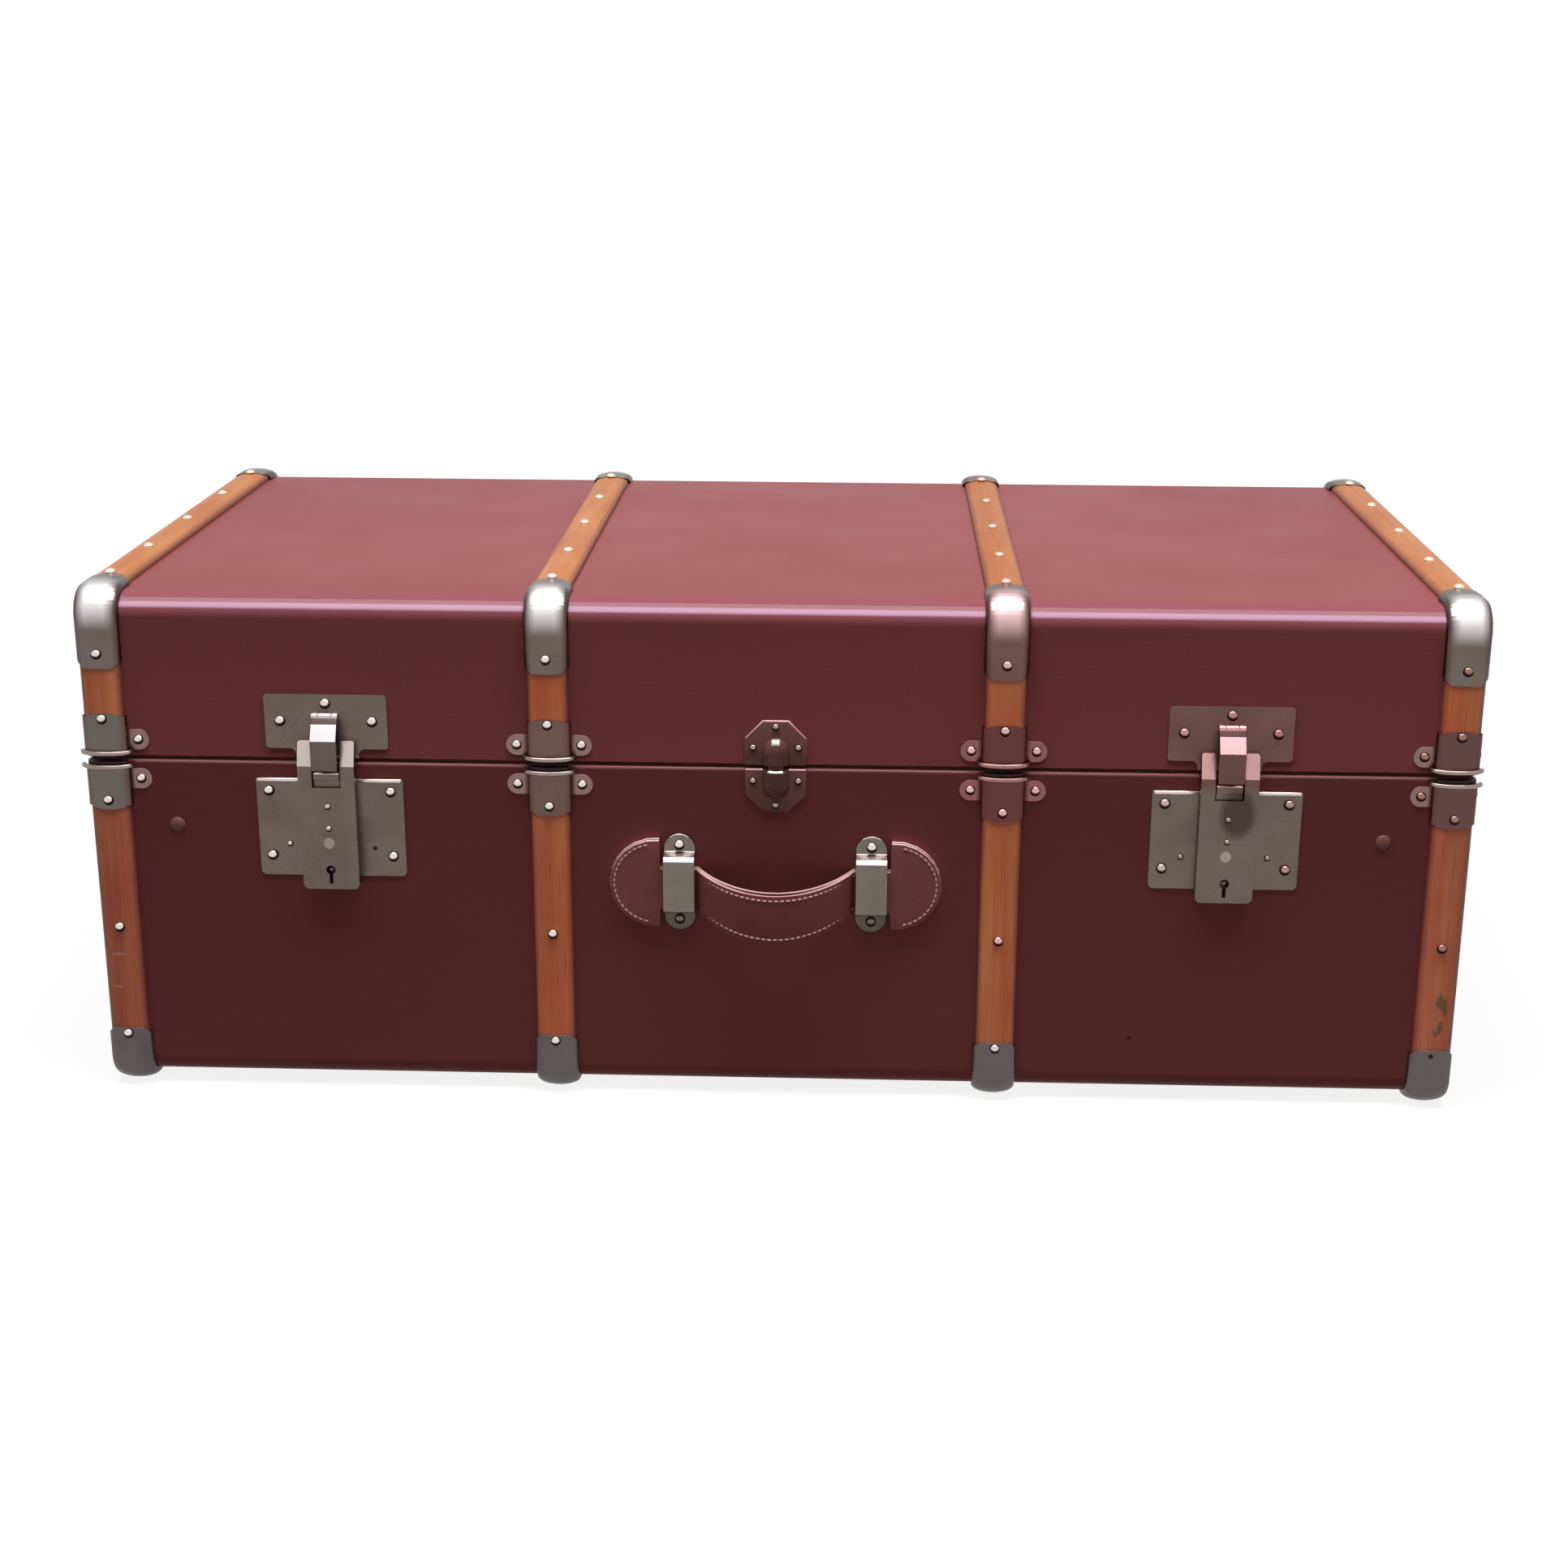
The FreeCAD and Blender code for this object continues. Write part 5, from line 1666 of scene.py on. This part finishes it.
def fitting_rivets(body, plain, small):
    """The rivets of one half: broad ones on the locks, small ones on the catch."""
    node = body + "_fitting_rivets"
    heads = [
        studs("plain", plain, rivet_radius, rivet_height, rivet_steel),
        studs("small", small, 0.0023, 0.0018, nail_steel),
    ]
    fit(joined(heads, node + "_domed"), body, "steel_bright", node)


def catch_rivets(side_z, middle_z):
    """Two small rivets beside the boss of a catch half, and one beyond it."""
    spots = ((-catch_side, side_z), (catch_side, side_z), (0, middle_z))
    return [(x, catch_sheet, seam_z + z) for x, z in spots]


print("rivets are", 2 * rivet_radius, "wide")

# %% Places of rivets, pins and worn spots
lid_rivets = []
base_rivets = []
pins = [(lock_x + 0.028, plate_out, seam_z - 0.0575)]
for x in (-lock_x, lock_x):
    lid_rivets += [(x + step, plate_out, seam_z + 0.0265) for step in (-0.030, 0.030)]
    lid_rivets.append((x, plate_out, seam_z + 0.0385))
    for side_x in (x - lock_half + 0.0085, x + lock_half - 0.0085):
        base_rivets += [(side_x, plate_out, z) for z in (lock_top - 0.009, lock_low + 0.014)]
    pins.append((x - 0.028, plate_out, seam_z - 0.0575))
    pins += [(x, case_out, z) for z in (seam_z - 0.029, seam_z - 0.044)]
fitting_rivets("lid", lid_rivets, catch_rivets(0.013, 0.027))
fitting_rivets("base", base_rivets, catch_rivets(-0.0095, -0.026))
fit(studs("lock_pins", pins, 0.0020, 0.0014, nail_steel), "base", "steel_bright")
lost_place = [(-lock_x + 0.028, plate_out - worn_out, seam_z - 0.0600)]
fit(studs("lost_pin", lost_place, 0.0015, 0.0002, hole_steel), "base", "steel")
worn_places = [(x, case_out - worn_out, seam_z - 0.054) for x in (-lock_x, lock_x)]
fit(studs("lock_spots", worn_places, 0.0038, 0.00022, worn_steel), "base", "steel_bright")
print(len(lid_rivets) + len(base_rivets), "rivets and", len(pins), "pins on the locks")

# %% [markdown]
# ## Leather handles
#
# A handle is two plies of leather sewn together: a round lobe at each end, a
# neck under each steel loop, and a grip between them that droops and bows
# out. Its outline and its bow are given for each distance along the handle,
# and the points of a plane that is divided along its length follow them.

# %% Handle outline
handle_z = seam_z - 0.080
handle_half = 0.109
lobe_x = 0.07630
lobe_half_height = 0.030
neck_x = 0.05065
neck_high = 0.0105
neck_low = -0.0185
grip_high = 0.003
grip_low = -0.030
bow_out = 0.027


def arc_height(along, end, centre):
    """Height of an arc over the grip, given its height at the necks and at its middle."""
    sagitta = centre - end
    radius = (neck_x ** 2 + sagitta ** 2) / (2 * abs(sagitta))
    fall = radius - math.sqrt(radius ** 2 - min(abs(along), neck_x) ** 2)
    return centre - math.copysign(fall, sagitta)


def lobe_height(along):
    """Half the height of a lobe, which is part of a circle."""
    reach = handle_half - lobe_x
    radius = (lobe_half_height ** 2 + reach ** 2) / (2 * reach)
    from_centre = abs(along) - (handle_half - radius)
    return math.sqrt(max(radius ** 2 - from_centre ** 2, 0))


def handle_edges(along):
    """The low and high edge of the handle at a distance from its middle."""
    if abs(along) < neck_x:
        return arc_height(along, neck_low, grip_low), arc_height(along, neck_high, grip_high)
    if abs(along) < lobe_x:
        return neck_low, neck_high
    return -lobe_height(along), lobe_height(along)


def handle_bow(along):
    """How far the grip stands out at a distance from its middle."""
    return arc_height(along, 0, bow_out) if abs(along) < neck_x else 0.0


print("a handle is", 2 * handle_half, "long and bows out", bow_out)

# %% Where the plies are divided
grip_steps = 14
tip_shares = (0.25, 0.5, 0.7, 0.85, 0.95, 0.995)
stations = [neck_x * step / grip_steps for step in range(-grip_steps, grip_steps + 1)]
half_stations = [0.058, 0.067, lobe_x - 0.0005, lobe_x]
half_stations += [lobe_x + (handle_half - lobe_x) * share for share in tip_shares]
stations += half_stations + [-along for along in half_stations]
stations.sort()
print("the plies have", len(stations), "stations")

# %% One ply
leather_back = 0.0003
ply_thickness = 0.0023


def ply(back_out, trim, swell):
    """One ply of the handle, trimmed all round, with a grip that swells in the middle."""
    last = len(stations) - 1
    piece = start(
        "ply", bpy.ops.mesh.primitive_grid_add,
        x_subdivisions=last, y_subdivisions=6, size=2, rotation=(math.pi / 2, 0, 0),
    )
    for corner in piece.data.vertices:
        along = stations[round((corner.co.x + 1) / 2 * last)]
        share = (corner.co.z + 1) / 2
        low, high = handle_edges(along)
        low, high = low + trim, max(high - trim, low + 2 * trim)
        bow = handle_bow(along)
        crown = swell * 0.3 * (1 - (2 * share - 1) ** 2) * bow / bow_out
        out = back_out + bow * (1 + swell / bow_out) + crown
        place = (along * (1 - trim / handle_half), -out, handle_z + low + (high - low) * share)
        corner.co = place
    modify(piece, "SOLIDIFY", thickness=ply_thickness, offset=1, use_even_offset=True)
    soften(piece, 0.0010, 4, 45, 60)
    return piece


def is_cut_edge(face):
    """Whether a face of the leather is its cut edge, which is paler."""
    return abs(face.normal.z) > 0.35 or (abs(face.normal.x) > 0.5 and abs(face.center.x) > lobe_x)


handle_plies = joined(
    [ply(leather_back, 0.0, 0.0), ply(leather_back + 0.0027, 0.0004, 0.0025)], "plies"
)
dress(handle_plies, handle_leather, (edge_leather, is_cut_edge))
print("two plies,", len(handle_plies.data.polygons), "faces")

# %% [markdown]
# ### Stitches
#
# The plies are sewn round each lobe and along both sides of the grip. A
# stitch is a short soft rod, copied at even steps along these lines and
# turned to follow them. Curves would do it too, but single stitches show.

# %% Sewn lines
stitch_pitch = 0.0038
stitch_inset = 0.0032
stitch_radius = 0.00062
stitch_length = 0.0026
stitch_out = leather_back + 0.0050
lobe_seam = 0.0302


def stitch_places(outline):
    """Evenly spaced places and directions along an outline of points."""
    places = []
    carried = 0.0
    for first, second in zip(outline, outline[1:]):
        run_length = (second - first).length
        at = stitch_pitch - carried
        while at < run_length:
            places.append((first.lerp(second, at / run_length), (second - first).normalized()))
            at += stitch_pitch
        carried = (carried + run_length) % stitch_pitch
    return places


def lobe_line(side):
    """The sewn line round a lobe."""
    radius = lobe_seam - stitch_inset
    angles = [math.pi * (step / 32 - 0.5) * 0.94 for step in range(33)]
    across = [handle_half - lobe_seam + radius * math.cos(angle) for angle in angles]
    return [
        Vector((side * x, -stitch_out, radius * math.sin(angle))) for x, angle in zip(across, angles)
    ]


def grip_line(edge, inset):
    """The sewn line along the low or the high edge of the grip."""
    line = []
    for step in range(41):
        along = neck_x * 1.02 * (step / 20 - 1)
        out = stitch_out + handle_bow(along) * 1.11
        line.append(Vector((along, -out, handle_edges(along)[edge] + inset)))
    return line


stitch = start_rod("stitch", (0, 0, 0), stitch_radius, stitch_length, 0, 8)
soften(stitch, 0.00025, 2)
turned = []
for line in (lobe_line(-1), lobe_line(1), grip_line(0, stitch_inset), grip_line(1, -stitch_inset)):
    for place, way in stitch_places(line):
        turn = Vector((1, 0, 0)).rotation_difference(way).to_matrix().to_4x4()
        turned.append(Matrix.Translation(place + Vector((0, 0, handle_z))) @ turn)
handle_stitches = dress(set_out(stitch, "stitches", turned), thread)
print(len(turned), "stitches in a handle")

# %% [markdown]
# ### Steel loops
#
# A loop is a strip with round feet that bridges the leather at each neck. Its
# end edge is drawn out step by step along the bridge, the four bends are
# rounded, and the feet get their round ends from bevelled corner points.

# %% Steel loop
loop_half_width = 0.01035
loop_half_length = 0.03325
bridge_half = 0.020
loop_out = 0.010
loop_sheet = 0.0015
loop_lean = 0.0022
loop_bend = 0.0014


def gets_painted_highlight(face):
    """Whether a face of a loop looks up, and so gets a painted highlight."""
    return face.normal.z > 0.25 and abs(face.normal.x) < 0.2


bridge_y = loop_sheet - loop_out
lean_z = bridge_half - loop_lean
bends = [(0, -bridge_half), (bridge_y, -lean_z), (bridge_y, lean_z), (0, bridge_half)]
path = bends + [(0, loop_half_length)]
loop = start_sheet("loop", -loop_half_width, loop_half_width, -loop_half_length, -bridge_half)
for (y, z), (next_y, next_z) in zip(path, path[1:]):
    draw_out(loop, lambda e: runs(e, 0) and lies(e, y=y, z=z), (0, next_y - y, next_z - z))
bevel(loop, lambda e: runs(e, 0) and any(lies(e, y=y, z=z) for y, z in bends), loop_bend, 3)
ends = [(side * loop_half_width, end * loop_half_length) for side in (-1, 1) for end in (-1, 1)]
round_corners(loop, near(*ends), loop_half_width * 0.985, 10)
thicken(loop, loop_sheet, 0.0004)
shift(loop, (0, 0, handle_z))
# Faces that look up get pale steels as painted highlights, and the lower foot a darker steel as painted
# shade.
dress(
    loop, loop_steel, (bright_steel, gets_painted_highlight),
    (dull_steel, lambda f: f.center.z < handle_z - bridge_half and not gets_painted_highlight(f)),
    (slope_steel, lambda f: f.normal.z > 0.85 and gets_painted_highlight(f)),
)
print("a loop stands out", loop_out)

# %% Three handles
loop_x = 0.063
loop_rivet_rise = loop_half_length - 0.0075

for node, plane in (
    ("front_handle", front), ("end_handle_left", end_sides[-1]), ("end_handle_right", end_sides[1])
):
    for pattern, kind in ((handle_plies, "_plies_set"), (handle_stitches, "_stitches_set")):
        fit(copy_of(pattern, node + kind, plane), node, "leather", node)
    loops = node.replace("handle", "handle_loops")
    pair = [copy_of(loop, loops, plane @ move(x=x)) for x in (-loop_x, loop_x)]
    fit(joined(pair, loops + "_bent"), "base", "steel", loops)
    rivets = node.replace("handle", "handle_rivets")
    heads = []
    # The lower rivets of each loop take the darker steel as painted shade.
    for rise, material in ((loop_rivet_rise, rivet_steel), (-loop_rivet_rise, dull_rivet_steel)):
        places = [(x, loop_sheet, handle_z + rise) for x in (-loop_x, loop_x)]
        heads.append(studs("heads", places, rivet_radius, rivet_height, material, plane))
    fit(joined(heads, rivets + "_domed"), "base", "steel", rivets)
for pattern in (handle_plies, handle_stitches, loop):
    drop(pattern)
print("three handles")

# %% [markdown]
# ## Hinges
#
# Two cranked hinges stand on the back. Each leaf is a plate with a strip
# drawn out to the pin, and barrels round the pin.

# %% Hinge leaves
hinge_half = 0.030
leaf_sheet = 0.0015
leaf_reach = 0.036
leaf_round = 0.005
crank_start = 0.0085
barrel_radius = 0.0045
pin_radius = 0.0022
pin_play = 0.0001
pin_low, pin_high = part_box("hinge_pins")
pin_z = (pin_low.z + pin_high.z) / 2
pin_out = (pin_low.y + pin_high.y) / 2 - back_y


def leaf_of(direction, spans):
    """A leaf above the seam or below it, with a crank and a barrel for each span."""
    inner = seam_z + direction * crank_start
    outer = seam_z + direction * leaf_reach
    plate = start_sheet("leaf", -hinge_half, hinge_half, *sorted((inner, outer)))
    round_corners(plate, near((-hinge_half, outer), (hinge_half, outer)), leaf_round)
    thicken(plate, leaf_sheet, 0.0004)
    rise = pin_z - inner
    stand = pin_out - leaf_sheet
    share = 1 - (pin_radius + 0.0012) / math.hypot(stand, rise)
    parts = [plate]
    for low, high in spans:
        crank = start_sheet("crank", low, high, *sorted((inner, inner + direction * 0.001)))
        draw_out(crank, lambda e: runs(e, 0) and lies(e, z=inner), (0, -stand * share, rise * share))
        thicken(crank, leaf_sheet, 0.0003)
        centre = ((low + high) / 2, -pin_out, pin_z)
        barrel = start_rod("barrel", centre, barrel_radius, high - low, 0)
        carve(barrel, start_rod("bore", centre, pin_radius + pin_play, high - low + 0.004, 0))
        soften(barrel, 0.0004, 2)
        parts += [crank, barrel]
    return joined(parts, "leaf")


third = hinge_half / 3
base_leaf = leaf_of(-1, ((-hinge_half, -third - knuckle_gap), (third + knuckle_gap, hinge_half)))
lid_leaf = leaf_of(1, ((-third, third),))
hinge_pin = start_rod("pin", (0, -pin_out, pin_z), pin_radius, 2 * hinge_half + 0.002, 0, 24)
soften(hinge_pin, 0.0005, 2)
print("hinge pin", round(pin_out, 5), "out and", round(pin_z - seam_z, 5), "above the seam")

# %% Both hinges
hinge_places = [back @ move(x=x) for x in (-lock_x, lock_x)]
for pattern, node, body, material in (
    (base_leaf, "hinge_base_leaves", "base", plate_steel),
    (lid_leaf, "hinge_lid_leaves", "lid", plate_steel),
    (hinge_pin, "hinge_pins", "base", bright_steel),
):
    pair = set_out(pattern, node + "_cranked", hinge_places)
    fit(dress(pair, material), body, "steel", node)
leaf_rivet_xs = [x + step for x in (-lock_x, lock_x) for step in (-0.021, 0.0, 0.021)]
for body, rivet_z in (("base", seam_z - 0.0265), ("lid", seam_z + 0.0265)):
    places = [(x, leaf_sheet, rivet_z) for x in leaf_rivet_xs]
    fit(studs(body + "_leaf_rivets", places, 0.0027, 0.0016, rivet_steel, back), body, "steel_bright")
print("two hinges with", 2 * len(leaf_rivet_xs), "rivets")

# %% [markdown]
# ## Rivets of the tray rests
#
# A broad painted dome shows outside where each tray rest is fixed inside.

# %% Painted domes
rest_x = half_length - 0.056
rest_z = seam_z - 0.0455
rest_places = [(-rest_x, 0, rest_z), (rest_x, 0, rest_z)]
domes = [studs("rest_dome", rest_places, 0.005, 0.0026, catch_paint, side) for side in (front, back)]
fit(joined(domes, "tray_rest_rivets_domed"), "base", "painted_steel", "tray_rest_rivets")
print("four domes")

# %% [markdown]
# ## Lid stays
#
# A tape on each side keeps the lid from falling back. With the lid closed it
# hangs in a loop inside the base, and it runs up to the lid when that opens.
# It is a strip that is spun round its loop, drawn on to the lid's block and
# divided there.

# %% Tapes
stay_half_width = 0.008
tape_thickness = 0.0011
tape_edge = 0.0006
loop_radius_z = 0.006
tape_parts = 16


def stay(label):
    """A tape from its block in the base to its block in the lid."""
    node = "lid_stay_" + label
    low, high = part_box(node)
    centre_x = (low.x + high.x) / 2
    far_y, near_y = high.y - tape_edge, low.y + tape_edge
    base_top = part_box("base_stay_blocks")[1].z - 0.001
    bend = low.z + loop_radius_z
    left, right = centre_x - stay_half_width, centre_x + stay_half_width
    piece = start_sheet(node + "_tape", left, right, bend, base_top)
    shift(piece, (0, far_y, 0))
    round_centre = (centre_x, (far_y + near_y) / 2, bend)
    change(
        piece, "EDGE", lambda e: runs(e, 0) and middle(e).z < bend + 0.0001, bpy.ops.mesh.spin,
        steps=12, angle=math.pi, center=round_centre, axis=(1, 0, 0),
    )
    draw_out(piece, lambda e: runs(e, 0) and lies(e, y=near_y, z=bend), (0, 0, high.z - bend))
    for step in range(1, tape_parts):
        split(piece, (0, 0, base_top + (high.z - base_top) * step / tape_parts), (0, 0, 1))
    tidy(piece, 50)
    modify(piece, "SOLIDIFY", thickness=tape_thickness, offset=0)
    smooth(piece, 50)
    dress(piece, stay_tape)
    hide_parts(node)
    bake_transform(piece)


stay("left")
stay("right")

# %% [markdown]
# ## Pieces kept from the frame
#
# What lies inside keeps the shapes of the frame and gets a finish: cloth on
# the linings, plain wood on the tongue, rests and blocks, steel on the works.

# %% Finishes of kept pieces
kept = (
    (lining_cloth, ("base_lining", "lid_lining")),
    (inner_wood, ("tongue_frame", "tray_rests", "base_stay_blocks", "lid_stay_blocks")),
    (bright_steel, ("key_bolt_left", "key_bolt_right", "hasp_pin_left", "hasp_pin_right")),
)
for material, names in kept:
    for node in names:
        for slot in nodes[node].material_slots:
            slot.material = material
print(sum(len(names) for material, names in kept), "nodes kept")

# %% [markdown]
# ## Stage and light
#
# The floor and the air are pale. One long soft lamp above the trunk lights
# its lid, and its reflection adds to the bright lines on the edges and bends,
# which also have painted highlights in their colours.

# %% Floor
floor_tone = (0.20, 0.20, 0.20, 1)
near_glow = (0.86, 0.86, 0.86, 1)
black = (0, 0, 0, 1)
white = (1, 1, 1, 1)


def floor_paint():
    """A pale floor that glows for the camera, and whiter far away."""
    finish = Finish("floor_white")
    x, y, z = finish.axes()
    glow = finish.mixed(finish.spread(x * x + y * y, 0.6, 6.0), near_glow, white)
    return finish.set(
        Base_Color=floor_tone,
        Emission_Color=finish.mixed(finish.seen(), black, glow),
        Emission_Strength=1.0,
        Roughness=0.9,
        Specular_IOR_Level=0.0,
    )


dress(start("floor", bpy.ops.mesh.primitive_plane_add, size=60), floor_paint())
print("floor laid")

# %% Air and lamp
air_light = 0.13
air_seen = 1.0
lamp_place = Vector((0, -0.42, 1.95))
lamp_aim = Vector((0, -0.1, 0.25))
lamp_sizes = (2.2, 0.8)
lamp_power = 48

world = bpy.data.worlds.new("air")
bpy.context.scene.world = world
net = Net(world)
level = net.spread(net.seen(), 0.0, 1.0, air_light, air_seen)
sky = net.add("ShaderNodeBackground", {}, {"Color": white, "Strength": level})
net.add("ShaderNodeOutputWorld", {}, {"Surface": sky["Background"]})

lamp_data = bpy.data.lights.new("top_lamp", "AREA")
lamp_data.shape = "RECTANGLE"
lamp_data.size, lamp_data.size_y = lamp_sizes
lamp_data.energy = lamp_power
lamp = bpy.data.objects.new("top_lamp", lamp_data)
bpy.context.scene.collection.objects.link(lamp)
lamp.location = lamp_place
lamp.rotation_euler = (lamp_aim - lamp_place).to_track_quat("-Z", "Y").to_euler()
bpy.context.scene.view_settings.view_transform = "Standard"
print("stage set, with a lamp of", lamp_power, "W")
